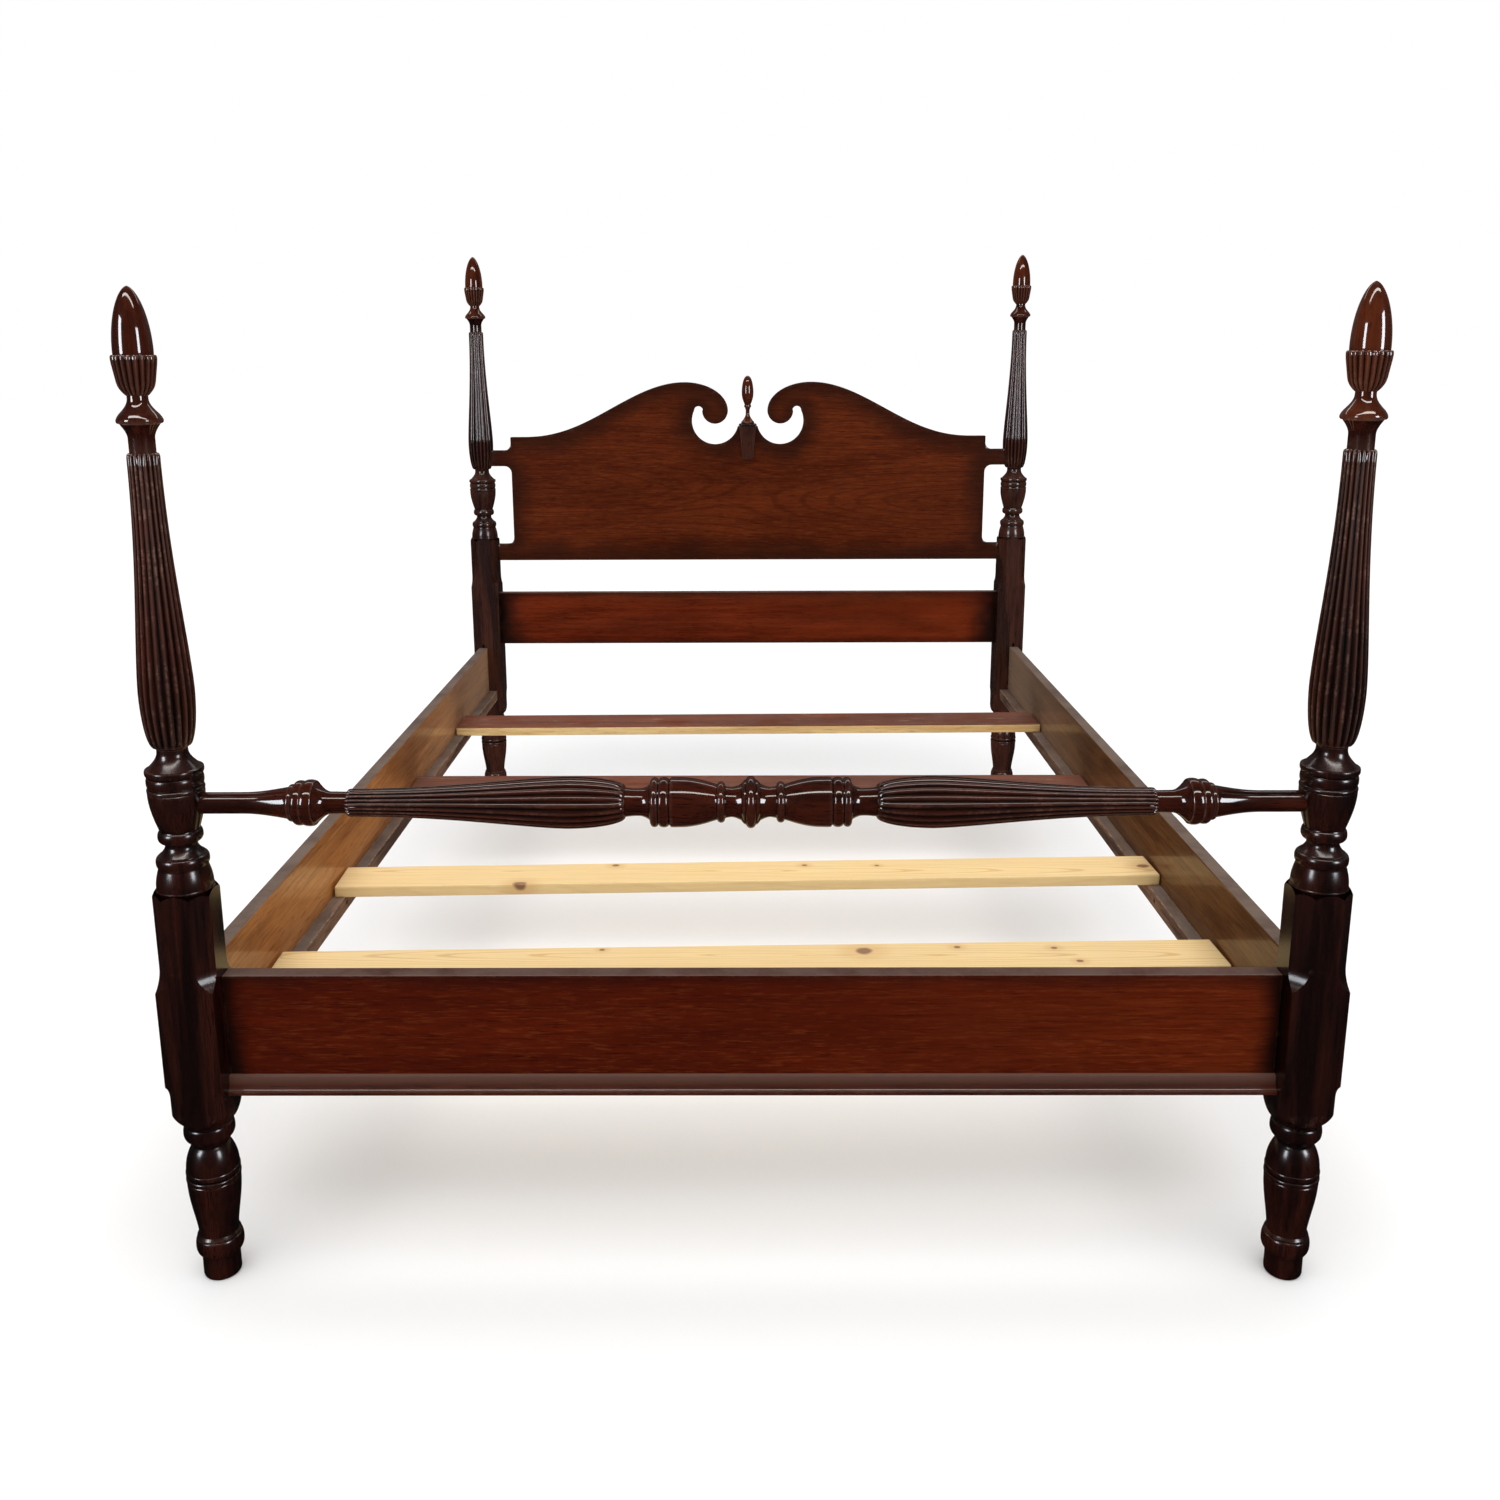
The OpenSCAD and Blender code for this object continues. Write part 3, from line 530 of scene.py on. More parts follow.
def turned_post(name, square_top, top, side):
    """Right-hand post at the origin, from the floor to the foot of the reeded shaft."""
    block = cut_hook_slot(chamfered_block("block", square_top, top), side)
    foot = turned("foot", foot_stations(), PLAIN_STEPS)
    urn = turned("urn", urn_stations(top), PLAIN_STEPS)
    return join(name, foot, block, urn)


def reeded_shaft(name):
    """Reeded shaft with its plain neck, from its own foot."""
    reed_z = 3
    neck_r = 14.5
    bend = SHAFT_H + NECK_H / 2
    reeds = turned("reeds", taper_stations(reed_z, 0.2 * SHAFT_H, SHAFT_H, 20.5, BULB_R, SHAFT_TOP_R))
    cut_reeds(reeds, reed_z, SHAFT_H)
    collar = turned("collar", [(17.4, 0), (18, 2), (18.2, 4), (17.4, 12), (17.4, 20)], 64)
    root = [(12, SHAFT_H - 30), (12, SHAFT_H - 5), (neck_r, SHAFT_H - 4)]
    neck = turned("neck", root + leave(neck_r, 22, bend, SHAFT_H + NECK_H, 14), PLAIN_STEPS)
    return join(name, reeds, collar, neck)


def acorn_finial(name):
    """Acorn in a reeded cup on a turned collar."""
    cup_z = 31
    collar = turned("collar", [
        (22, 0), (23.8, 0.3), (24.8, 1.2), (25.3, 2.6), (25.3, 4), (24.8, 5.6), (23.8, 7.6), (22.4, 9.6),
        (21.9, 10.4), (20, 12.4), (18.1, 14.5), (16.6, 16.3), (15.1, 18.2), (13.8, 20.2), (12.7, 22.2),
        (11.9, 24.4), (11.4, 27), (11.3, cup_z - 1), (11.3, cup_z + 8)], PLAIN_STEPS)
    rings = [(11.6, 0), (13.8, 2), (16.2, 4.8), (18.2, 7.8), (19.7, 11), (20.8, 15), (21.6, 20), (22.4, 25),
             (23.2, 30), (24, 35), (24.5, 39.5), (24.6, 42), (24.3, 43.8), (23.6, 44.8), (22.4, 45.2)]
    cup = turned("cup", [(r, cup_z + z) for r, z in rings])
    cut_reeds(cup, cup_z - 6, cup_z + 46, scallop=0.7, run=5)
    nut = [(9, cup_z + 22), (20, cup_z + 34), (21.5, cup_z + 44)]
    for i in range(28):
        a = math.radians(84 * i / 27)
        nut.append((21.6 * math.cos(a) ** 1.2, cup_z + 49 + 71 * math.sin(a)))
    acorn = turned("acorn", nut + [(0.8, cup_z + 120)], PLAIN_STEPS)
    return join(name, collar, cup, acorn)


def post_top(corner):
    """Height of the chamfered block's top, where the urn starts."""
    return FOOT_TOP if corner.startswith("foot") else HEAD_TOP


def at_corner(model, corner, part, ending, material, z=0):
    """Copy a right-hand model to a corner, mirrored on the left, in the place of a part of the post."""
    side_x, side_y = CORNERS[corner]
    piece = copy_of(model, corner + part + ending)
    place(piece, (side_x * POST_X, side_y * POST_Y, z), mirror=(side_x, 1, 1))
    finish_piece(piece, material, "frame", corner + part)


class BED_OT_turned_posts(bpy.types.Operator):
    """Model the turned feet, chamfered blocks and urns of the four posts"""

    bl_idname = "bed.turned_posts"
    bl_label = "Turned Posts"

    def execute(self, context):
        for end, square_top, top, side in (
                ("foot", FOOT_SQUARE_TOP, FOOT_TOP, 1), ("head", HEAD_SQUARE_TOP, HEAD_TOP, -1)):
            model = turned_post(end + "_model", square_top, top, side)
            for hand in HANDS:
                at_corner(model, end + "_" + hand, "_post", "_turned", post_wood("Z", end))
            delete(model)
        return {"FINISHED"}


class BED_OT_reeded_shafts(bpy.types.Operator):
    """Model the reeded shaft of each post"""

    bl_idname = "bed.reeded_shafts"
    bl_label = "Reeded Shafts"

    def execute(self, context):
        model = reeded_shaft("shaft_model")
        for corner in CORNERS:
            z = post_top(corner) + URN_H
            at_corner(model, corner, "_shaft", "_reeded", reeded_wood("Z"), z)
        delete(model)
        return {"FINISHED"}


class BED_OT_finials(bpy.types.Operator):
    """Model the acorn finial on each post"""

    bl_idname = "bed.finials"
    bl_label = "Acorn Finials"

    def execute(self, context):
        model = acorn_finial("finial_model")
        for corner in CORNERS:
            z = post_top(corner) + URN_H + SHAFT_H + NECK_H
            at_corner(model, corner, "_finial", "_turned", finial_wood("Z"), z)
        delete(model)
        return {"FINISHED"}


def cross_middle_stations():
    half = (
        [(31.4, 0), (31.2, 1.6), (30.6, 3), (29.4, 4.5), (28, 5.5), (27, 6), (26.5, 8), (23, 11)]
        + settle(22, 18, 11.5, 24)
        + [(19, 30)]
        + bead(20, 24.8, 21, 31, 40.5)
        + settle(21.6, 30, 41.5, 84, 14)
        + [(30.2, 92), (30, 96), (28, 97.5)]
        + bead(27, 30.2, 27, 98.5, 110.5)
        + bead(27, 30, 24, 111.5, 121)
        + settle(21, 16.5, 122, 134)
        + [(16.5, 140), (17.5, 151), (14, 156), (14, 190)]
    )
    return [(r, -z) for r, z in reversed(half[1:])] + half


def cross_end_stations():
    ring = POST_X - 174
    return (
        [(12, ring - 72), (13.2, ring - 36), (13.6, ring - 12)]
        + leave(13.6, 26, ring - 12, ring + 6)
        + bead(26, 28.2, 25.4, ring + 6, ring + 20)
        + bead(25.4, 27.2, 23, ring + 20, ring + 31)
        + bead(21.5, 22.6, 20, ring + 32, ring + 38, 4)
        + settle(19.5, 13, ring + 39, ring + 95)
        + [(13, POST_X - 22)]
    )


class BED_OT_cross_rail(bpy.types.Operator):
    """Model the turned and reeded rail between the foot posts"""

    bl_idname = "bed.cross_rail"
    bl_label = "Cross Rail"

    def execute(self, context):
        reed_start = 151
        reed_end = POST_X - 206
        middle = turned("middle", cross_middle_stations(), PLAIN_STEPS)
        reeds = turned("reeds", taper_stations(reed_start, 220, reed_end, 18, 32, 17))
        cut_reeds(reeds, reed_start, reed_end)
        half = join("half", turned("end", cross_end_stations(), PLAIN_STEPS), reeds)
        other = place(copy_of(half, "other"), turn=(180, 0, 0))
        rail = join("cross_rail_turned", middle, half, other)
        place(rail, (0, -POST_Y, CROSS_Z), turn=(0, 90, 0))
        finish_piece(rail, reeded_wood("X"), "frame", "cross_rail")
        return {"FINISHED"}


def arc(centre, radius, start, end, n):
    """Points of an arc, in degrees."""
    turns = [math.radians(start + (end - start) * i / n) for i in range(n + 1)]
    return [(centre[0] + radius * math.cos(a), centre[1] + radius * math.sin(a)) for a in turns]


# Above the foot of the headboard panel: the top of the plinth that carries the keystone,
# and the centre and radius of the scroll and of the channel round it
PLINTH_Z = 346
SCROLL = (84, 386, 33)
CHANNEL = (84, 360, 60)


def half_panel():
    """Outline of the headboard's right half, from the plinth round to the middle of its foot."""
    x, z, r = SCROLL
    channel_x, channel_z, channel_r = CHANNEL
    rise = math.degrees(math.asin((z - channel_z) / channel_r))
    throat = channel_x + channel_r * math.cos(math.radians(rise))
    throat_r = (throat - x - r) / 2 + 1
    crest_x, crest_z = 163, 458
    shoulder_x, shoulder_z = 580, 320
    edge = 613.5
    low_tab = 42
    tab_low, tab_high = 246, 286
    tab_end = POST_X - 16
    fillet = 18
    points = [(0, PLINTH_Z), (25, PLINTH_Z)]
    points += arc((channel_x, channel_z), channel_r, 193, 360 + rise, 40)
    points += arc((throat - throat_r, z), throat_r, 14, 165, 10)
    points += arc((x, z), r, -2, -180, 30)
    points += [(crest_x - (crest_x - x + r) * math.cos(math.radians(a)),
                z + (crest_z - z) * math.sin(math.radians(a))) for a in range(5, 91, 5)]
    ogee = [(shoulder_x + (crest_x - shoulder_x) * t,
             shoulder_z + (crest_z - shoulder_z) * (1 - math.cos(math.pi * t ** 1.1)) / 2)
            for t in [i / 40 for i in range(39, 0, -1)]]
    points += ogee + [(shoulder_x, shoulder_z), (edge, shoulder_z)]
    points += arc((edge + fillet, tab_high + fillet), fillet, 180, 270, 6)
    points += [(tab_end, tab_high), (tab_end, tab_low)]
    points += arc((edge + fillet, tab_low - fillet), fillet, 90, 180, 6)
    points += arc((edge + fillet, low_tab + fillet), fillet, 180, 270, 6)
    return points + [(BOARD_HALF, low_tab), (BOARD_HALF, 0), (0, 0)]


def outline_distance(obj, outline):
    """Distance of each vertex from the outline, in metres."""
    start = np.array(outline) * MM
    span = np.roll(start, -1, axis=0) - start
    square = np.maximum((span ** 2).sum(1), 1e-12)
    found = []
    for vertex in obj.data.vertices:
        p = np.array((vertex.co.x, vertex.co.z))
        t = np.clip(((p - start) * span).sum(1) / square, 0, 1)
        near = start + span * t[:, None]
        found.append(np.sqrt(((p - near) ** 2).sum(1)).min())
    return found


class BED_OT_headboard(bpy.types.Operator):
    """Model the scrolled headboard panel"""

    bl_idname = "bed.headboard"
    bl_label = "Headboard"

    def execute(self, context):
        half = half_panel()
        outline = half + [(-x, z) for x, z in reversed(half[1:-1])]
        panel = drawn_board("headboard_scrolled", outline, PANEL_T)
        ease(panel, 0.0012, angle=60)
        cell = 12
        bisect(panel, 0, [cell * i for i in range(-54, 55)])
        bisect(panel, 2, [cell * (i + 0.5) for i in range(38)])
        store(panel.data, "edge_distance", outline_distance(panel, outline))
        place(panel, (0, POST_Y, PANEL_Z))
        finish_piece(panel, veneer(), "frame", "headboard_panel")
        return {"FINISHED"}


# Keystone, what its front falls back at the foot, and the cap on it
KEY_Z = PANEL_Z + PLINTH_Z
KEY_H = 84
KEY_T = 12
KEY_HALF = 21.5
KEY_FOOT_HALF = 13.5
KEY_FALL = 4.8
CAP_H = 7
CAP_DEPTH = 35
CAP_HALF = 23


def keystone():
    """Tapered keystone on the panel's face, slimmer towards its foot."""
    foot = -KEY_H
    outline = [(-KEY_FOOT_HALF, foot), (KEY_FOOT_HALF, foot), (KEY_HALF, 0), (-KEY_HALF, 0)]
    key = drawn_board("keystone_tapered", outline, KEY_T)
    for vertex in key.data.vertices:
        if vertex.co.y < 0 and vertex.co.z < foot / 2 * MM:
            vertex.co.y += KEY_FALL * MM
    place(key, (0, POST_Y - PANEL_T / 2 - KEY_T / 2, KEY_Z))
    ease(key, 0.0008)
    bisect(key, 2, (KEY_Z - 81, KEY_Z - 60, KEY_Z - 30, KEY_Z - 3))
    return bisect(key, 0, (-10, 10))


def keystone_cap():
    """Cap of three stepped layers over the keystone and the panel."""
    back = POST_Y + PANEL_T / 2
    layers = []
    for inset, low, high in ((2.5, 0, 2.5), (0, 2, 5.5), (2, 5, CAP_H)):
        half = CAP_HALF - inset
        corner = (-half, back - CAP_DEPTH + inset, KEY_Z + low)
        layers.append(ease(box_between("layer", corner, (half, back, KEY_Z + high)), 0.0006))
    return join("keystone_cap_moulded", *layers)


def centre_finial_stations():
    return (
        [(13.6, 0)]
        + bead(15.2, 17, 15, 0.5, 6, 5)
        + settle(14, 5, 7, 26)
        + [(5, 34)]
        + settle(5.2, 6.5, 35, 40, 4)
        + bead(7, 9, 7.5, 41, 48)
        + settle(8, 15, 49, 76)
        + [(15 * math.cos(math.radians(4 * i)) ** 0.9, 78 + 43 * math.sin(math.radians(4 * i)))
           for i in range(1, 22)]
        + [(0.8, 120.9)]
    )


class BED_OT_keystone(bpy.types.Operator):
    """Model the tapered keystone, its moulded cap and the small finial"""

    bl_idname = "bed.keystone"
    bl_label = "Keystone and Finial"

    def execute(self, context):
        finish_piece(keystone(), post_wood("Z", "head"), "frame", "headboard_keystone")
        finish_piece(keystone_cap(), post_wood("X"), "frame", "keystone_cap")
        finial = turned("centre_finial_turned", centre_finial_stations(), 64)
        place(finial, (0, POST_Y + (PANEL_T - CAP_DEPTH) / 2, KEY_Z + CAP_H))
        finish_piece(finial, finial_wood("Z"), "frame", "centre_finial")
        return {"FINISHED"}


# The board at each end: its node, front, foot and height
END_BOARDS = {
    "foot": ("foot_rail", FOOT_RAIL_Y, FOOT_RAIL_Z, FOOT_RAIL_H),
    "head": ("head_stretcher", POST_Y - BOARD_T / 2, STRETCHER_Z, STRETCHER_H),
}


class BED_OT_end_boards(bpy.types.Operator):
    """Model the foot rail and the stretcher below the headboard"""

    bl_idname = "bed.end_boards"
    bl_label = "Foot Rail and Stretcher"

    def execute(self, context):
        arris = context.scene.bed_sizes.board_arris
        for end, (node, y, z, height) in END_BOARDS.items():
            high = (BOARD_HALF, y + BOARD_T, z + height)
            made = board(node + "_board", (-BOARD_HALF, y, z), high, arris)
            finish_piece(made, red_board(end), "frame", node)
        return {"FINISHED"}


def screw_places():
    """Five places spread along a ledger, the last ones a hand's width from its ends."""
    span = 2 * (RAIL_HALF - 80)
    return [span * (i / 4 - 0.5) for i in range(5)]


def ledger_strip(name):
    """Right-hand ledger with a countersink for each screw."""
    face = POST_X - LEDGER_W
    strip = board(name, (face, -RAIL_HALF, LEDGER_Z), (POST_X, RAIL_HALF, LEDGER_Z + LEDGER_H), 0.0009)
    sinks = [rod("sink", 5.3, (face - 0.6, y, SCREW_Z), (face + 2.2, y, SCREW_Z), 24, 2.6)
             for y in screw_places()]
    return apply_boolean(strip, join("sinks", *sinks))


class BED_OT_side_rails(bpy.types.Operator):
    """Model the side rails and the ledgers that carry the slats"""

    bl_idname = "bed.side_rails"
    bl_label = "Side Rails and Ledgers"

    def execute(self, context):
        arris = context.scene.bed_sizes.board_arris
        low = (POST_X, -RAIL_HALF, RAIL_Z)
        high = (POST_X + RAIL_T, RAIL_HALF, RAIL_Z + RAIL_H)
        for hand, side in HANDS.items():
            rail = place(board(hand + "_rail_board", low, high, arris), mirror=(side, 1, 1))
            finish_piece(rail, side_rail_wood(hand), hand + "_rail", hand + "_side_rail")
            ledger = place(ledger_strip(hand + "_ledger_strip"), mirror=(side, 1, 1))
            finish_piece(ledger, ledger_wood(), hand + "_rail", hand + "_ledger")
        return {"FINISHED"}


def moulding(name, half):
    """Moulding along Y, its back at x = 0: a fillet, a hollow and a rounded upper edge."""
    hollow = [(12 - 8 * math.sin(math.radians(a)), 22 - 17 * math.cos(math.radians(a)))
              for a in range(9, 91, 9)]
    fillet = [(0, 0), (11.2, 0), (11.8, 0.3), (12, 1), (12, 4.6), (11.7, 5)]
    obj = drawn_board(name, fillet + hollow + [(3.6, 22.6), (0, 24)], 2 * half)
    return bisect(obj, 1, [-half + 4, -half / 2, 0, half / 2, half - 4])


class BED_OT_mouldings(bpy.types.Operator):
    """Model the base mouldings of the foot rail and the side rails"""

    bl_idname = "bed.mouldings"
    bl_label = "Base Mouldings"

    def execute(self, context):
        foot = moulding("foot_rail_moulding_run", BOARD_HALF)
        place(foot, (0, FOOT_RAIL_Y, FOOT_RAIL_Z), turn=(0, 0, -90))
        finish_piece(foot, moulding_wood("X"), "frame", "foot_rail_moulding")
        for hand, side in HANDS.items():
            run = moulding(hand + "_moulding_run", RAIL_HALF)
            place(run, (side * (POST_X + RAIL_T), 0, RAIL_Z), mirror=(side, 1, 1))
            finish_piece(run, moulding_wood("Y"), hand + "_rail", hand + "_rail_moulding")
        return {"FINISHED"}


# Name, share of the way from the foot to the head, width, skew in degrees, finish
SLATS = (
    ("foot", 0.137, 89, 1.6, "pine"),
    ("second", 0.308, 89, 2.0, "pine"),
    ("third", 0.548, 115, 0.0, "stained_slat"),
    ("head", 0.796, 115, 0.9, "stained_slat"),
)


class BED_OT_slats(bpy.types.Operator):
    """Model the four loose slats"""

    bl_idname = "bed.slats"
    bl_label = "Slats"

    def execute(self, context):
        arris = context.scene.bed_sizes.slat_arris
        woods = {"pine": pine, "stained_slat": stained_slat}
        half = POST_X - SLAT_GAP
        for name, share, width, skew, finish in SLATS:
            slat = board("slat_" + name + "_board", (-half, -width / 2, 0), (half, width / 2, SLAT_T),
                         arris, margin=5)
            place(slat, (0, 2 * POST_Y * (share - 0.5), SLAT_Z), turn=(0, 0, skew))
            finish_piece(slat, woods[finish](name), name + "_slat", "slat_" + name)
        return {"FINISHED"}


def cross_head_screw():
    """Countersunk screw along X, its head at x = 0."""
    head = turned("screw", [(2.4, -12), (2.5, -2.2), (4.3, -0.35), (4.3, -0.1), (3.8, 0)], 32)
    place(head, turn=(0, -90, 0))
    recess = [box_between("recess", (-0.3, -y, -z), (1.4, y, z)) for y, z in ((2.4, 0.45), (0.45, 2.4))]
    return apply_boolean(head, join("recess", *recess), overlapping=True)


class BED_OT_hardware(bpy.types.Operator):
    """Model the ledger screws and give the hooks and pins their steel"""

    bl_idname = "bed.hardware"
    bl_label = "Screws, Hooks and Pins"

    def execute(self, context):
        model = cross_head_screw()
        x = POST_X - LEDGER_W + 0.2
        for hand, side in HANDS.items():
            copies = [place(copy_of(model, "screw"), (x, y, SCREW_Z), turn=(37 * i, 0, 0))
                      for i, y in enumerate(screw_places())]
            screws = place(join(hand + "_ledger_screws_cut", *copies), mirror=(side, 1, 1))
            finish_piece(screws, steel("Dark Screw Steel", 0.35), hand + "_rail",
                         hand + "_ledger_screws")
        delete(model)
        for name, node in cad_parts.items():
            if name.endswith(("_hooks", "_pins")):
                node.data.materials.clear()
                node.data.materials.append(steel("Plated Steel", 1.0))
        return {"FINISHED"}


# Shader nodes


def add(tree, kind, inputs=None, **settings):
    """New node with its settings, its values and its links."""
    made = tree.nodes.new(kind)
    for key, value in settings.items():
        setattr(made, key, value)
    for key, value in (inputs or {}).items():
        if isinstance(value, bpy.types.NodeSocket):
            tree.links.new(value, made.inputs[key])
        else:
            made.inputs[key].default_value = value
    return made


def maths(tree, operation, *values, clamp=False):
    inputs = dict(enumerate(values))
    return add(tree, "ShaderNodeMath", inputs, operation=operation, use_clamp=clamp).outputs[0]


def times(tree, one, other):
    return maths(tree, "MULTIPLY", one, other)


def vector_maths(tree, operation, *values):
    return add(tree, "ShaderNodeVectorMath", dict(enumerate(values)), operation=operation).outputs


def split(tree, vector):
    """X, Y and Z of a vector."""
    return add(tree, "ShaderNodeSeparateXYZ", {0: vector}).outputs


def blend(tree, factor, one, other):
    """Mix of two colours."""
    one, other = [v if isinstance(v, bpy.types.NodeSocket) else (*v, 1) for v in (one, other)]
    return add(tree, "ShaderNodeMix", {0: factor, 6: one, 7: other}, data_type="RGBA",
               clamp_factor=True).outputs[2]


def noise(tree, vector, scale, detail=3.0, roughness=0.55, distortion=0.0):
    values = {"Vector": vector, "Scale": scale, "Detail": detail, "Roughness": roughness,
              "Distortion": distortion}
    return add(tree, "ShaderNodeTexNoise", values).outputs["Fac"]


def stretch(tree, vector, scale):
    """Vector with each axis scaled."""
    return vector_maths(tree, "MULTIPLY", vector, scale)[0]


def ramp(tree, value, low, high, start=0.0, end=1.0):
    """Value between low and high eased to start and end."""
    inputs = {"Value": value, "From Min": low, "From Max": high, "To Min": start, "To Max": end}
    return add(tree, "ShaderNodeMapRange", inputs, interpolation_type="SMOOTHSTEP").outputs["Result"]


def new_group(name, labels, build):
    """Shader group with named inputs, and an output for each mask that build returns."""
    tree = bpy.data.node_groups.new(name, "ShaderNodeTree")
    for label in labels:
        kind = "NodeSocketVector" if label in ("Vector", "Centre", "Scale") else "NodeSocketFloat"
        tree.interface.new_socket(name=label, in_out="INPUT", socket_type=kind)
    masks = build(tree, tree.nodes.new("NodeGroupInput").outputs)
    for label in masks:
        tree.interface.new_socket(name=label, in_out="OUTPUT", socket_type="NodeSocketFloat")
    add(tree, "NodeGroupOutput", masks)
    return tree


def shader_group(name, *labels):
    """Make a function that builds nodes into one that places them as a group, built once."""
    def decorate(build):
        def place_group(tree, **inputs):
            group = bpy.data.node_groups.get(name) or new_group(name, labels, build)
            return add(tree, "ShaderNodeGroup", inputs, node_tree=group).outputs
        return place_group
    return decorate


@shader_group("Wood Grain", "Vector")
def wood_grain(t, given):
    along = given["Vector"]
    figure = noise(t, stretch(t, along, (1.3, 13, 13)), 1.6, 4, 0.55, 0.9)
    streak = noise(t, stretch(t, along, (9, 210, 210)), 1.0, 4, 0.65)
    pore = noise(t, stretch(t, along, (32, 430, 430)), 1.0, 2, 0.55)
    rings = add(t, "ShaderNodeTexWave", {
        "Vector": stretch(t, along, (0.9, 7, 16)), "Scale": 1.1, "Distortion": 6.5, "Detail": 3,
        "Detail Scale": 1.2}, wave_type="BANDS", bands_direction="Z").outputs["Fac"]
    return {"Figure": ramp(t, figure, 0.36, 0.66), "Streak": ramp(t, streak, 0.3, 0.7),
            "Pore": ramp(t, pore, 0.55, 0.68), "Rings": rings}


# Pale rubbed edges; on the posts and the reed crests they also stand as painted highlights.
@shader_group("Edge Wear and Highlight", "Vector", "Wear", "Amount", "Even")
def edge_wear_and_highlight(t, given):
    patches = ramp(t, noise(t, given["Vector"], 34, 4, 0.65), 0.44, 0.6)
    chips = ramp(t, noise(t, given["Vector"], 210, 3, 0.6), 0.38, 0.56)
    cover = maths(t, "MAXIMUM", times(t, patches, chips), given["Even"])
    soft = times(t, given["Wear"], cover)
    return {"Mask": maths(t, "MULTIPLY", soft, given["Amount"], clamp=True)}


@shader_group("Grime in Hollows", "Vector", "Hollow", "Amount")
def grime_in_hollows(t, given):
    cloud = noise(t, given["Vector"], 22, 3, 0.6)
    depth = times(t, given["Hollow"], ramp(t, cloud, 0.25, 0.6, 0.55, 1))
    return {"Mask": maths(t, "MULTIPLY", depth, given["Amount"], clamp=True)}


# A film on upward faces: dust, and on the rail tops and the moulding also painted sheen.
@shader_group("Dust and Sheen on Tops", "Vector", "Up", "Amount")
def dust_and_sheen_on_tops(t, given):
    cloud = noise(t, given["Vector"], 14, 4, 0.65)
    film = times(t, ramp(t, given["Up"], 0.35, 0.95), ramp(t, cloud, 0.2, 0.65, 0.3))
    return {"Mask": maths(t, "MULTIPLY", film, given["Amount"], clamp=True)}


@shader_group("Dark Toning", "Vector", "Distance", "Width")
def dark_toning(t, given):
    cloud = maths(t, "SUBTRACT", noise(t, given["Vector"], 9, 3, 0.5), 0.5)
    moved = maths(t, "MULTIPLY_ADD", cloud, given["Width"], given["Distance"])
    return {"Mask": ramp(t, maths(t, "DIVIDE", moved, given["Width"]), 0.0, 1.0, 1.0, 0.0)}


@shader_group("Cathedral Centre", "Vector", "Centre", "Scale")
def cathedral(t, given):
    away = vector_maths(t, "SUBTRACT", given["Vector"], given["Centre"])[0]
    return {"Distance": vector_maths(t, "LENGTH", stretch(t, away, given["Scale"]))["Value"]}


@shader_group("Knot", "Vector", "Centre", "Radius")
def knot(t, given):
    away = vector_maths(t, "SUBTRACT", given["Vector"], given["Centre"])[0]
    length = vector_maths(t, "LENGTH", stretch(t, away, (0.8, 1, 0.7)))["Value"]
    wobble = maths(t, "SUBTRACT", noise(t, given["Vector"], 45, 2, 0.5), 0.5)
    reach = maths(t, "MULTIPLY_ADD", wobble, 0.7, maths(t, "DIVIDE", length, given["Radius"]))
    return {"Core": ramp(t, reach, 0.55, 1.0, 1.0, 0.0), "Halo": ramp(t, reach, 0.8, 3.4, 1.0, 0.0)}


# Materials


def new_material(name):
    """Material with its tree and its main shader."""
    material = bpy.data.materials.new(name)
    material.use_nodes = True
    return material, material.node_tree, material.node_tree.nodes["Principled BSDF"]


def colours():
    return bpy.context.scene.bed_colours


def scaled(colour_value, share):
    return [share * v for v in colour_value]


GRAIN_TURNS = {"X": (0, 0, 0), "Y": (0, 0, -math.pi / 2), "Z": (0, math.pi / 2, 0)}
OLD_POLISH = (0.002, 0.0008, 0.0005)


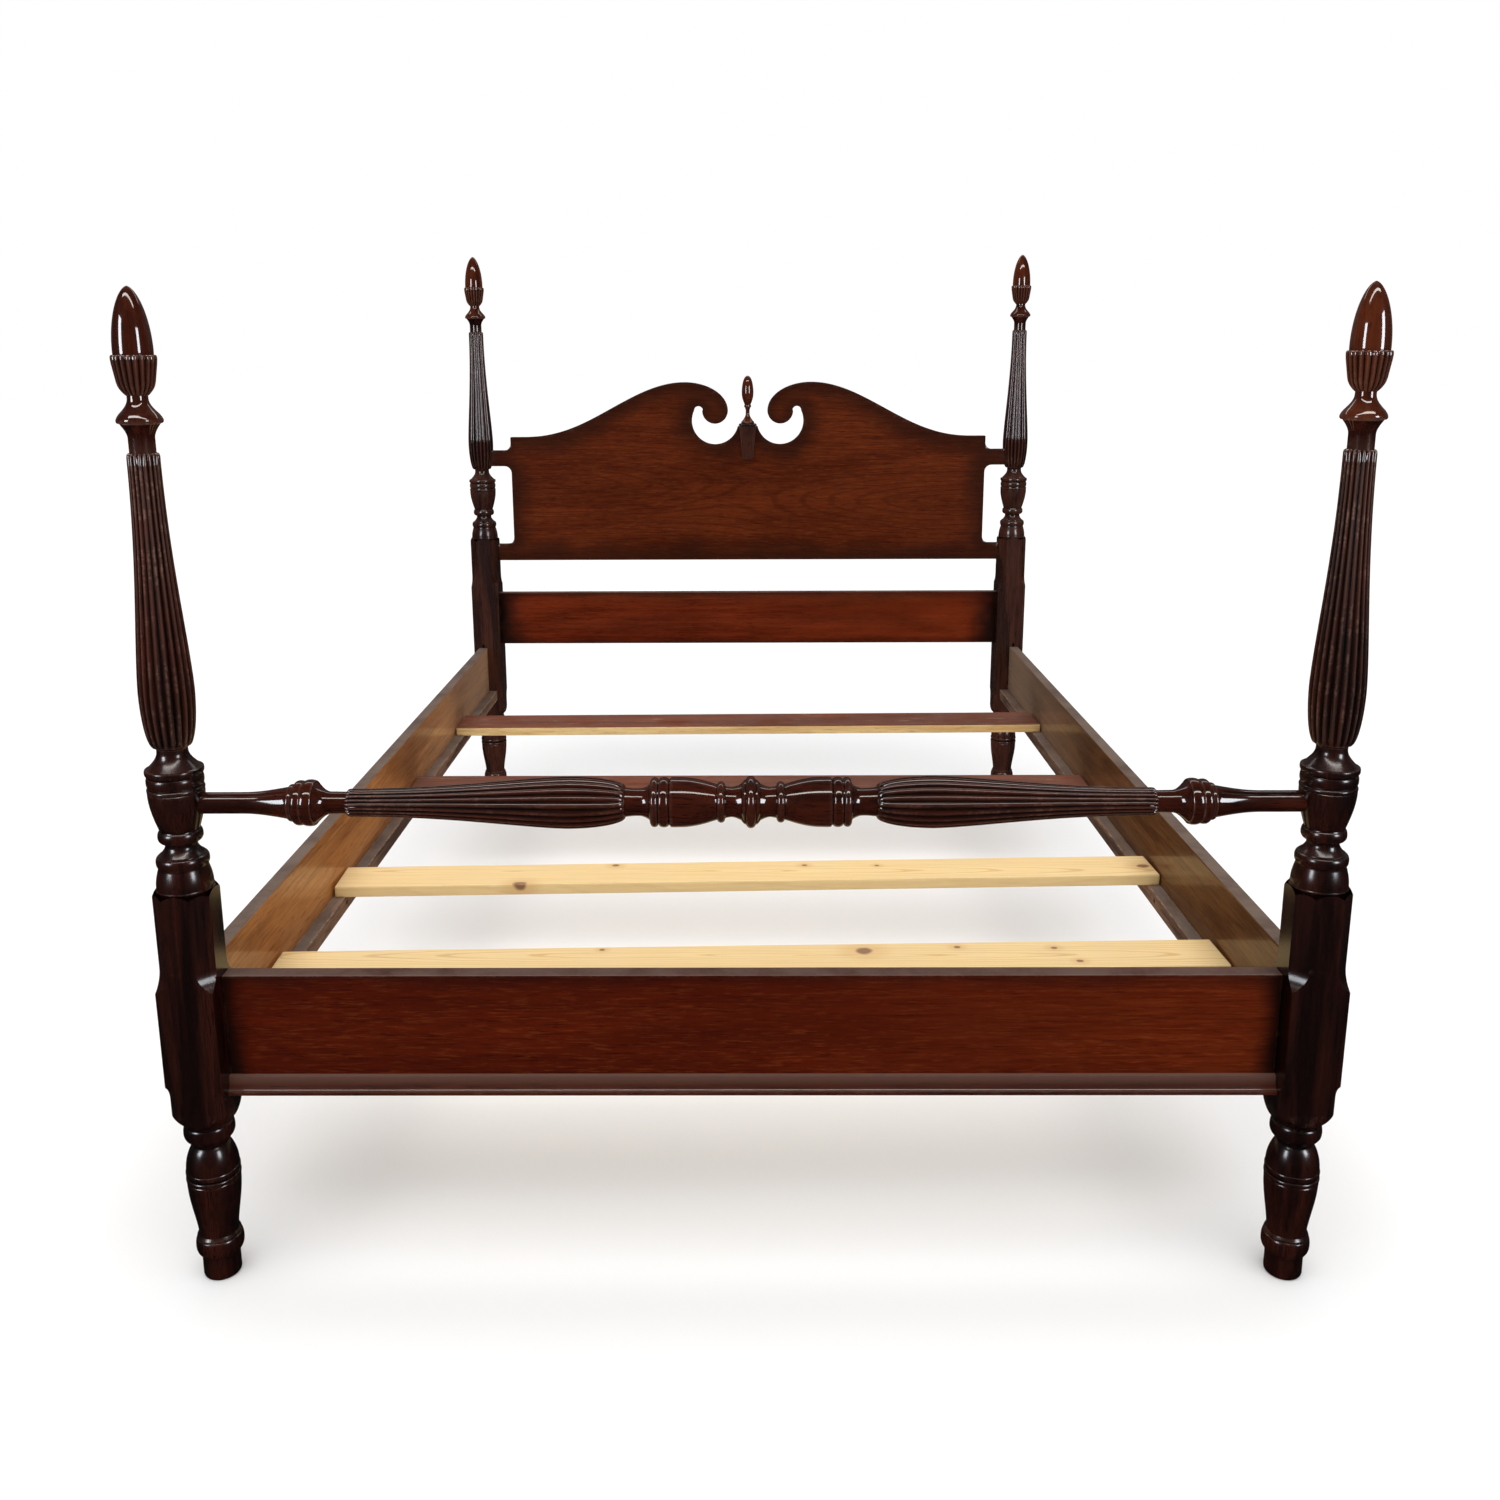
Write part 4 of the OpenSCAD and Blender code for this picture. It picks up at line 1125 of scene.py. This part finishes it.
class Wood:
    """A wood material while it is put together. Its tone is the colour so far."""

    def __init__(self, name, axis, shift):
        """Grain runs along the axis, and a shift sets each wood's figure apart."""
        self.material, self.tree, self.shader = new_material(name)
        t = self.tree
        self.place = add(t, "ShaderNodeTexCoord").outputs["Object"]
        self.grain = wood_grain(t, Vector=add(t, "ShaderNodeMapping", {
            "Vector": self.place, "Rotation": GRAIN_TURNS[axis], "Location": shift}).outputs[0])
        self.normal = split(t, add(t, "ShaderNodeNewGeometry").outputs["Normal"])
        self.at = split(t, self.place)

    def stored(self, name):
        return add(self.tree, "ShaderNodeAttribute", attribute_name=name).outputs["Fac"]

    def body(self, light, dark, figure=0.8, streak=0.35, pore=0.5):
        """Colour between two stains by figure and streaks, with dark pores."""
        t = self.tree
        share = times(t, self.grain["Figure"], figure)
        share = maths(t, "MULTIPLY_ADD", self.grain["Streak"], streak, share, clamp=True)
        return blend(t, times(t, self.grain["Pore"], pore), blend(t, share, light, dark), scaled(dark, 0.3))

    def over(self, mask, share, colour_value):
        """Lay a colour over the tone by a share of a mask."""
        self.tone = blend(self.tree, times(self.tree, mask, share), self.tone, colour_value)

    def patches(self, scale, detail, low, high, roughness=0.55):
        """Mask of cloudy patches, stretched along each axis."""
        t = self.tree
        return ramp(t, noise(t, stretch(t, self.place, scale), 1.0, detail, roughness), low, high)

    def flecks(self):
        """Short bright flecks along the grain."""
        return self.patches((38, 400, 400), 3, 0.5, 0.7, 0.6)

    def growth_lines(self, centres, scale, spacing, waver, thin):
        """Nested lines of plain-sawn wood round long centres, 1 on a line."""
        t = self.tree
        reach = None
        for centre in centres:
            d = cathedral(t, Vector=self.place, Centre=centre, Scale=scale)[0]
            reach = d if reach is None else maths(t, "SMOOTH_MIN", reach, d, 3 * spacing)
        cloud = noise(t, stretch(t, self.place, (3.2, 11, 11)), 1.0, 4, 0.55)
        reach = maths(t, "MULTIPLY_ADD", maths(t, "SUBTRACT", cloud, 0.5), waver, reach)
        turn = maths(t, "SINE", times(t, reach, math.tau / spacing))
        return ramp(t, turn, thin, 1.0)

    def age(self, worn_and_highlit, wear_and_highlight, grime, dust_and_sheen, dust_and_sheen_colour=(0.2, 0.18, 0.165), even=0.0):
        """Dark hollows, rubbed edges that are partly painted highlight, and a film of dust on tops that is
        partly painted sheen.
        """
        t = self.tree
        hollows = grime_in_hollows(t, Vector=self.place, Hollow=self.stored("hollow"), Amount=grime)[0]
        self.worn_and_highlit = edge_wear_and_highlight(t, Vector=self.place, Wear=self.stored("wear_and_highlight"), Amount=wear_and_highlight, Even=even)[0]
        self.dust_and_sheen = dust_and_sheen_on_tops(t, Vector=self.place, Up=self.normal["Z"], Amount=dust_and_sheen)[0]
        for mask, colour_value in ((hollows, OLD_POLISH), (self.worn_and_highlit, worn_and_highlit), (self.dust_and_sheen, dust_and_sheen_colour)):
            self.tone = blend(t, mask, self.tone, colour_value)

    def close(self, rough, coat=0.0, coat_rough=0.2, bump=0.12, specular=0.02):
        """Connect colour, roughness and the fine relief of the grain."""
        t = self.tree
        shade = maths(t, "MULTIPLY_ADD", self.grain["Streak"], 0.1, rough)
        shade = maths(t, "MULTIPLY_ADD", self.dust_and_sheen, 0.3, shade)
        shade = maths(t, "MULTIPLY_ADD", self.worn_and_highlit, 0.2, shade, clamp=True)
        height = maths(t, "MULTIPLY_ADD", self.grain["Pore"], -0.6, self.grain["Streak"])
        relief = add(t, "ShaderNodeBump", {"Strength": bump, "Distance": 0.0004, "Height": height})
        t.links.new(self.tone, self.shader.inputs["Base Color"])
        t.links.new(shade, self.shader.inputs["Roughness"])
        t.links.new(relief.outputs["Normal"], self.shader.inputs["Normal"])
        self.shader.inputs["Coat Weight"].default_value = coat
        self.shader.inputs["Coat Roughness"].default_value = coat_rough
        self.shader.inputs["Specular IOR Level"].default_value = specular
        return self.material


@cache
def post_wood(axis, end="foot"):
    """Near-black stain with red showing through, worn on its edges with pale lines that are partly painted
    highlight, and browner at the head.
    """
    c = colours()
    w = Wood("Post Wood " + axis + " " + end, axis, (0.7, 0.9, 1.3))
    tones = (c.post_red, c.post_dark) if end == "foot" else ((0.075, 0.021, 0.011), (0.02, 0.006, 0.004))
    w.tone = w.body(*tones, 0.9, 0.4, 0.6)
    w.age(c.worn_and_highlit, wear_and_highlight=0.22, grime=0.9, dust_and_sheen=0.04)
    return w.close(0.4, coat=0.8, coat_rough=0.21, bump=0.04)


@cache
def reeded_wood(axis):
    """Post stain with the crests of the reeds rubbed brown and painted pale as highlight lines."""
    w = Wood("Reeded Wood " + axis, axis, (0.1, 0.5, 0.3))
    w.tone = w.body((0.05, 0.008, 0.0028), colours().post_dark, 0.8, 0.4, 0.6)
    # Pale crest and edge colour: partly wear, partly painted highlight.
    w.age((0.27, 0.145, 0.11), wear_and_highlight=0.75 if axis == "Z" else 0.4, grime=1.0, dust_and_sheen=0.0, even=0.4)
    return w.close(0.4, coat=0.9, coat_rough=0.08, bump=0.06)


@cache
def finial_wood(axis):
    """Redder, glossier polish of the finials."""
    w = Wood("Finial Wood " + axis, axis, (0.9, 0.1, 0.6))
    w.tone = w.body((0.1, 0.02, 0.0055), colours().post_red, 0.8, 0.3, 0.4)
    # Pale rubbed edges and the cup's reed crests: partly wear, partly painted highlight.
    w.age((0.2, 0.105, 0.075), wear_and_highlight=0.7, grime=1.0, dust_and_sheen=0.03, even=0.5)
    return w.close(0.4, coat=1.0, coat_rough=0.06)


@cache
def moulding_wood(axis):
    """Dark moulding, painted paler above its lower fillet as sheen on its hollow, with dust and painted
    sheen on its upward faces.
    """
    c = colours()
    w = Wood("Moulding Wood " + axis, axis, (0.4, 0.8, 0.2))
    w.tone = w.body((0.06, 0.012, 0.005), c.post_red, 0.8, 0.5, 0.6)
    # Painted sheen: paler from just above the fillet upwards, where the hollow reflects the ceiling light.
    height = maths(w.tree, "SUBTRACT", w.at["Z"], RAIL_Z * MM)
    w.over(ramp(w.tree, height, 0.004, 0.02), 0.7, (0.13, 0.065, 0.048))
    w.age(c.worn_and_highlit, wear_and_highlight=0.2, grime=0.8, dust_and_sheen=0.35, dust_and_sheen_colour=(0.14, 0.08, 0.06), even=0.1)
    return w.close(0.4, coat=0.9, coat_rough=0.15)


def red_board(end):
    """Deep red board, toned nearly black at its ends and a little along its long edges."""
    c = colours()
    red, toned, shift = {"foot": (c.board_red, 0.036, 0.2), "head": (c.stretcher_red, 0.085, 0.9)}[end]
    w = Wood("Red Board " + end, "X", (0.35, 0.1, shift))
    t = w.tree
    w.tone = w.body(red, c.board_dark, 0.4, 0.4, 0.5)
    w.over(w.grain["Rings"], 0.15, c.board_dark)
    w.over(w.flecks(), 0.28, (0.2, 0.045, 0.009))
    w.over(w.patches((2.2, 1, 9), 2, 0.42, 0.62), 0.35, c.board_dark)
    w.over(times(t, ramp(t, w.at["X"], -0.1, 0.55), w.grain["Streak"]), 0.28, (0.25, 0.04, 0.005))
    from_end = maths(t, "SUBTRACT", BOARD_HALF * MM, maths(t, "ABSOLUTE", w.at["X"]))
    w.over(dark_toning(t, Vector=w.place, Distance=from_end, Width=toned)[0], 1.0, (0.009, 0.003, 0.002))
    low, height = END_BOARDS[end][2:]
    above = maths(t, "SUBTRACT", w.at["Z"], low * MM)
    below = maths(t, "SUBTRACT", (low + height) * MM, w.at["Z"])
    near = maths(t, "MINIMUM", above, below)
    w.over(dark_toning(t, Vector=w.place, Distance=near, Width=0.022)[0], 0.55, (0.012, 0.003, 0.002))
    # The film on the top edge is dust and painted sheen.
    w.age(c.worn_and_highlit, wear_and_highlight=0.3, grime=0.5, dust_and_sheen=1.0, dust_and_sheen_colour=(0.125, 0.075, 0.06))
    return w.close(0.4, coat=0.4, coat_rough=0.09)


def veneer():
    """Figured headboard, toned dark all round its outline."""
    c = colours()
    w = Wood("Headboard Veneer", "X", (0.15, 0.6, 0.45))
    hearts = ((-0.495, 0.98, 0.842), (0.53, 0.98, 0.795))
    w.tone = w.body(c.veneer_red, c.veneer_dark, 0.42, 0.42, 0.5)
    lines = w.growth_lines(hearts, (0.16, 0, 1), spacing=0.012, waver=0.02, thin=0.55)
    w.over(lines, 0.4, c.veneer_dark)
    w.over(w.patches((2.4, 1, 6.5), 2, 0.45, 0.62), 0.4, c.veneer_dark)
    w.over(w.flecks(), 0.2, (0.26, 0.075, 0.018))
    rims = dark_toning(w.tree, Vector=w.place, Distance=w.stored("edge_distance"), Width=0.07)[0]
    w.over(rims, 0.8, (0.022, 0.006, 0.003))
    w.age(c.worn_and_highlit, wear_and_highlight=0.2, grime=0.4, dust_and_sheen=0.1)
    return w.close(0.4, coat=0.35, coat_rough=0.12)


def side_rail_wood(hand):
    """Golden brown inside, deep red outside, greyed along the top edge by dust and painted sheen, and paler
    towards the head as painted sheen; the left rail is painted lighter, as lit, the right one darker, as in
    shade.
    """
    c = colours()
    w = Wood("Side Rail Wood " + hand, "Y", (0.3, 0.4, 0.7))
    t = w.tree
    # Painted light: the left rail lighter, as lit from the right, the right rail darker, as in shade.
    share = 1.6 if hand == "left" else 0.55
    w.tone = w.body(scaled(c.rail_gold, share), scaled(c.rail_dark, share), 0.7, 0.35, 0.4)
    # Painted sheen: paler and greyer towards the head.
    w.over(ramp(t, w.at["Y"], -0.1, 0.9), 0.5, (0.34, 0.25, 0.175))
    outward = maths(t, "GREATER_THAN", times(t, w.normal["X"], w.at["X"]), 0.2)
    w.over(outward, 1.0, w.body(c.board_red, c.board_dark, 0.7, 0.5, 0.7))
    w.over(ramp(t, w.normal["Z"], 0.5, 0.9), 1.0, (0.05, 0.026, 0.02))
    # The film on the top edge is dust and painted sheen.
    w.age(c.worn_and_highlit, wear_and_highlight=0.4, grime=0.5, dust_and_sheen=0.8, dust_and_sheen_colour=(0.19, 0.135, 0.105))
    return w.close(0.45, coat=0.5, coat_rough=0.16, specular=0.05)


@cache
def ledger_wood():
    """Rough strip with a dark, dusty top."""
    w = Wood("Ledger Wood", "Y", (0.8, 0.3, 0.1))
    t = w.tree
    w.tone = w.body((0.27, 0.13, 0.06), (0.09, 0.035, 0.015), 0.9, 0.6, 0.6)
    blotch = ramp(t, noise(t, w.place, 17, 5, 0.7), 0.4, 0.62)
    w.over(times(t, ramp(t, w.normal["Z"], 0.5, 0.9), ramp(t, blotch, 0, 1, 0.55, 1)), 1.0,
           (0.05, 0.02, 0.013))
    w.age((0.42, 0.26, 0.15), wear_and_highlight=0.9, grime=0.5, dust_and_sheen=0.35, dust_and_sheen_colour=(0.3, 0.24, 0.19))
    return w.close(0.6, bump=0.35, specular=0.5)


# For each pine slat, in metres: the shift of its grain, its heart, and place and radius of its knots
PINE = {
    "foot": ((0.2, 0.3, 0.5), (0.1, -0.71), (
        (0.167, -0.696, 0.013), (0.306, -0.683, 0.005), (0.448, -0.686, 0.005), (0.476, -0.73, 0.005),
        (-0.219, -0.691, 0.004))),
    "second": ((1.4, 0.9, 0.2), (-0.25, -0.38), (
        (0.673, -0.361, 0.01), (-0.382, -0.437, 0.011), (-0.23, -0.355, 0.006), (0.094, -0.355, 0.005),
        (0.218, -0.357, 0.004))),
}


def pine(name):
    """Pale planed pine with its growth bands and knots."""
    c = colours()
    shift, heart, knots = PINE[name]
    top = (SLAT_Z + SLAT_T) * MM
    w = Wood("Pine " + name, "X", shift)
    t = w.tree
    bands = w.growth_lines(((*heart, top),), (0.035, 1, 1), spacing=0.0055, waver=0.012, thin=0.7)
    bands = times(t, bands, ramp(t, w.normal["Z"], 0.4, 0.8, 0.12, 0.55))
    share = maths(t, "MULTIPLY_ADD", w.grain["Streak"], 0.2, bands, clamp=True)
    w.tone = blend(t, share, c.pine_light, c.pine_dark)
    for x, y, radius in knots:
        mark = knot(t, Vector=w.place, Centre=(x, y, top), Radius=radius)
        w.over(mark["Halo"], 0.45, (0.6, 0.33, 0.12))
        w.over(mark["Core"], 0.9, (0.2, 0.075, 0.03))
    w.age((0.9, 0.75, 0.5), wear_and_highlight=0.4, grime=0.3, dust_and_sheen=0.12, dust_and_sheen_colour=(0.55, 0.48, 0.38))
    return w.close(0.55, bump=0.2, specular=0.2)


def stained_slat(name):
    """Red-brown stain on the top of a slat, its edges left bare."""
    c = colours()
    w = Wood("Stained Slat " + name, "X", (0.6, 0.2, 0.3) if name == "head" else (1.1, 0.5, 0.9))
    t = w.tree
    w.tone = w.body(c.slat_stain, scaled(c.slat_stain, 0.5), 0.6, 0.6, 0.5)
    w.over(w.patches((9, 60, 60), 5, 0.58, 0.72, 0.75), 0.5, (0.5, 0.33, 0.2))
    bare = w.body(c.pine_light, c.pine_dark, 0.5, 0.5, 0.3)
    w.tone = blend(t, ramp(t, w.normal["Z"], 0.35, 0.75), bare, w.tone)
    w.age((0.5, 0.3, 0.16), wear_and_highlight=0.5, grime=0.3, dust_and_sheen=0.2)
    return w.close(0.5, bump=0.25, specular=0.15)


@cache
def steel(name, share):
    """Dull plated steel with a darker bloom."""
    material, t, shader = new_material(name)
    at = add(t, "ShaderNodeTexCoord").outputs["Object"]
    bloom = ramp(t, noise(t, at, 130, 5, 0.7), 0.35, 0.7)
    bright = scaled(colours().steel, share)
    t.links.new(blend(t, bloom, bright, scaled(bright, 0.35)), shader.inputs["Base Color"])
    t.links.new(ramp(t, bloom, 0, 1, 0.38, 0.62), shader.inputs["Roughness"])
    shader.inputs["Metallic"].default_value = 0.9
    return material


def floor_material():
    material, t, shader = new_material("Studio Floor")
    at = add(t, "ShaderNodeTexCoord").outputs["Object"]
    tone = blend(t, noise(t, at, 0.6, 2), (0.84, 0.84, 0.84), (0.88, 0.88, 0.88))
    t.links.new(tone, shader.inputs["Base Color"])
    shader.inputs["Roughness"].default_value = 0.8
    shader.inputs["Specular IOR Level"].default_value = 0.2
    return material


def area_light(name, at, aim, size, power, tint):
    """Rectangular soft light that shows in the polish, aimed at a point."""
    bpy.ops.object.light_add(type="AREA", location=at)
    lamp = bpy.context.object
    lamp.name = name
    lamp.data.shape = "RECTANGLE"
    lamp.data.size, lamp.data.size_y = size
    lamp.data.energy = power
    lamp.data.color = tint
    lamp.visible_diffuse = False
    lamp.rotation_euler = (Vector(aim) - Vector(at)).to_track_quat("-Z", "Y").to_euler()


WARM = (1.0, 0.95, 0.9)
COOL = (0.9, 0.95, 1.0)

# Name, place, aim, width and height, power, tint
LIGHTS = (
    ("Ceiling Front", (0.0, -2.4, 3.6), (0, -0.6, 0.5), (5.0, 0.4), 95, WARM),
    ("Ceiling Back", (0.0, 1.6, 3.3), (0, 0.6, 0.4), (5.0, 0.4), 25, WARM),
    ("Left Window", (-2.7, -3.0, 1.6), (0, -0.6, 0.8), (0.9, 1.4), 90, COOL),
    ("Right Window", (2.7, -3.0, 1.6), (0, -0.6, 0.8), (0.9, 1.4), 90, COOL),
)

# Camera as solved from the photograph: metres, degrees, and the lens in millimetres
CAMERA_AT = (-0.0051, -2.5372, 1.1689)
CAMERA_DOWN = 12.55
CAMERA_YAW = 0.32
CAMERA_ROLL = -0.21
CAMERA_LENS = 32.36
CAMERA_SHIFT = (0.0074, -0.0641)


class BED_OT_stage(bpy.types.Operator):
    """Set the floor, the soft lights, the pale surroundings and the camera"""

    bl_idname = "bed.stage"
    bl_label = "Stage, Lights and Camera"

    def execute(self, context):
        clear_selection()
        bpy.ops.mesh.primitive_circle_add(vertices=96, radius=40, fill_type="NGON", location=(0, 0, 0))
        ground = context.object
        ground.name = "studio_floor"
        ground.data.materials.append(floor_material())
        ground.visible_glossy = False
        for lamp in LIGHTS:
            area_light(*lamp)
        bpy.ops.object.light_add(type="SUN", location=(0, 0, 4), rotation=(math.radians(12), 0, 0))
        daylight = context.object
        daylight.name = "Even Daylight"
        daylight.data.energy = 2.8
        daylight.data.angle = math.radians(70)
        daylight.visible_glossy = False
        self.surroundings(context)
        self.camera(context)
        context.scene.view_settings.view_transform = "Standard"
        return {"FINISHED"}

    def surroundings(self, context):
        """White behind the floor; the polish mirrors a dim room with a paler wall at the back."""
        world = bpy.data.worlds.new("Studio")
        context.scene.world = world
        world.use_nodes = True
        world.cycles.sampling_method = "NONE"
        t = world.node_tree
        t.nodes.clear()
        way = split(t, add(t, "ShaderNodeTexCoord").outputs["Generated"])
        wall = times(t, ramp(t, way["Y"], 0.1, 0.7), ramp(t, way["Z"], -0.1, 0.1))
        seen, felt, mirrored = [
            add(t, "ShaderNodeBackground", {"Color": (1, 1, 1, 1), "Strength": strength}).outputs[0]
            for strength in (1.0, 0.45, maths(t, "MULTIPLY_ADD", wall, 0.1, 0.015))]
        path = add(t, "ShaderNodeLightPath").outputs
        inner = add(t, "ShaderNodeMixShader", {0: path["Is Glossy Ray"], 1: felt, 2: mirrored}).outputs[0]
        both = add(t, "ShaderNodeMixShader", {0: path["Is Camera Ray"], 1: inner, 2: seen}).outputs[0]
        add(t, "ShaderNodeOutputWorld", {"Surface": both})

    def camera(self, context):
        bpy.ops.object.camera_add(location=CAMERA_AT)
        cam = context.object
        cam.name = "Photo Camera"
        look = Matrix.Rotation(math.radians(90 - CAMERA_DOWN), 4, "X")
        yaw = Matrix.Rotation(math.radians(CAMERA_YAW), 4, "Z")
        roll = Matrix.Rotation(math.radians(CAMERA_ROLL), 4, "Z")
        cam.rotation_euler = (yaw @ look @ roll).to_euler()
        cam.data.lens = CAMERA_LENS
        cam.data.sensor_width = 36
        cam.data.shift_x, cam.data.shift_y = CAMERA_SHIFT
        cam.data.clip_end = 100
        context.scene.camera = cam


STEPS = (
    BED_OT_turned_posts, BED_OT_reeded_shafts, BED_OT_finials, BED_OT_cross_rail, BED_OT_headboard,
    BED_OT_keystone, BED_OT_end_boards, BED_OT_side_rails, BED_OT_mouldings, BED_OT_slats,
    BED_OT_hardware, BED_OT_stage,
)


class BED_PT_panel(bpy.types.Panel):
    """Sizes, colours and steps of the bed"""

    bl_idname = "BED_PT_panel"
    bl_label = "Four-Poster Bed"
    bl_space_type = "VIEW_3D"
    bl_region_type = "UI"
    bl_category = "Bed"

    def draw(self, context):
        for owner in (context.scene.bed_sizes, context.scene.bed_colours):
            for key in owner.__annotations__:
                self.layout.prop(owner, key)
        for step in STEPS:
            self.layout.operator(step.bl_idname)


CLASSES = (BedSizes, BedColours) + STEPS + (BED_PT_panel,)


def register():
    for item in CLASSES:
        bpy.utils.register_class(item)
    bpy.types.Scene.bed_sizes = PointerProperty(type=BedSizes)
    bpy.types.Scene.bed_colours = PointerProperty(type=BedColours)


def unregister():
    del bpy.types.Scene.bed_colours
    del bpy.types.Scene.bed_sizes
    for item in reversed(CLASSES):
        bpy.utils.unregister_class(item)


def main():
    register()
    clear_selection()
    for step in STEPS:
        action = step.bl_idname.split(".")[1]
        getattr(bpy.ops.bed, action)()


if __name__ == "__main__":
    main()
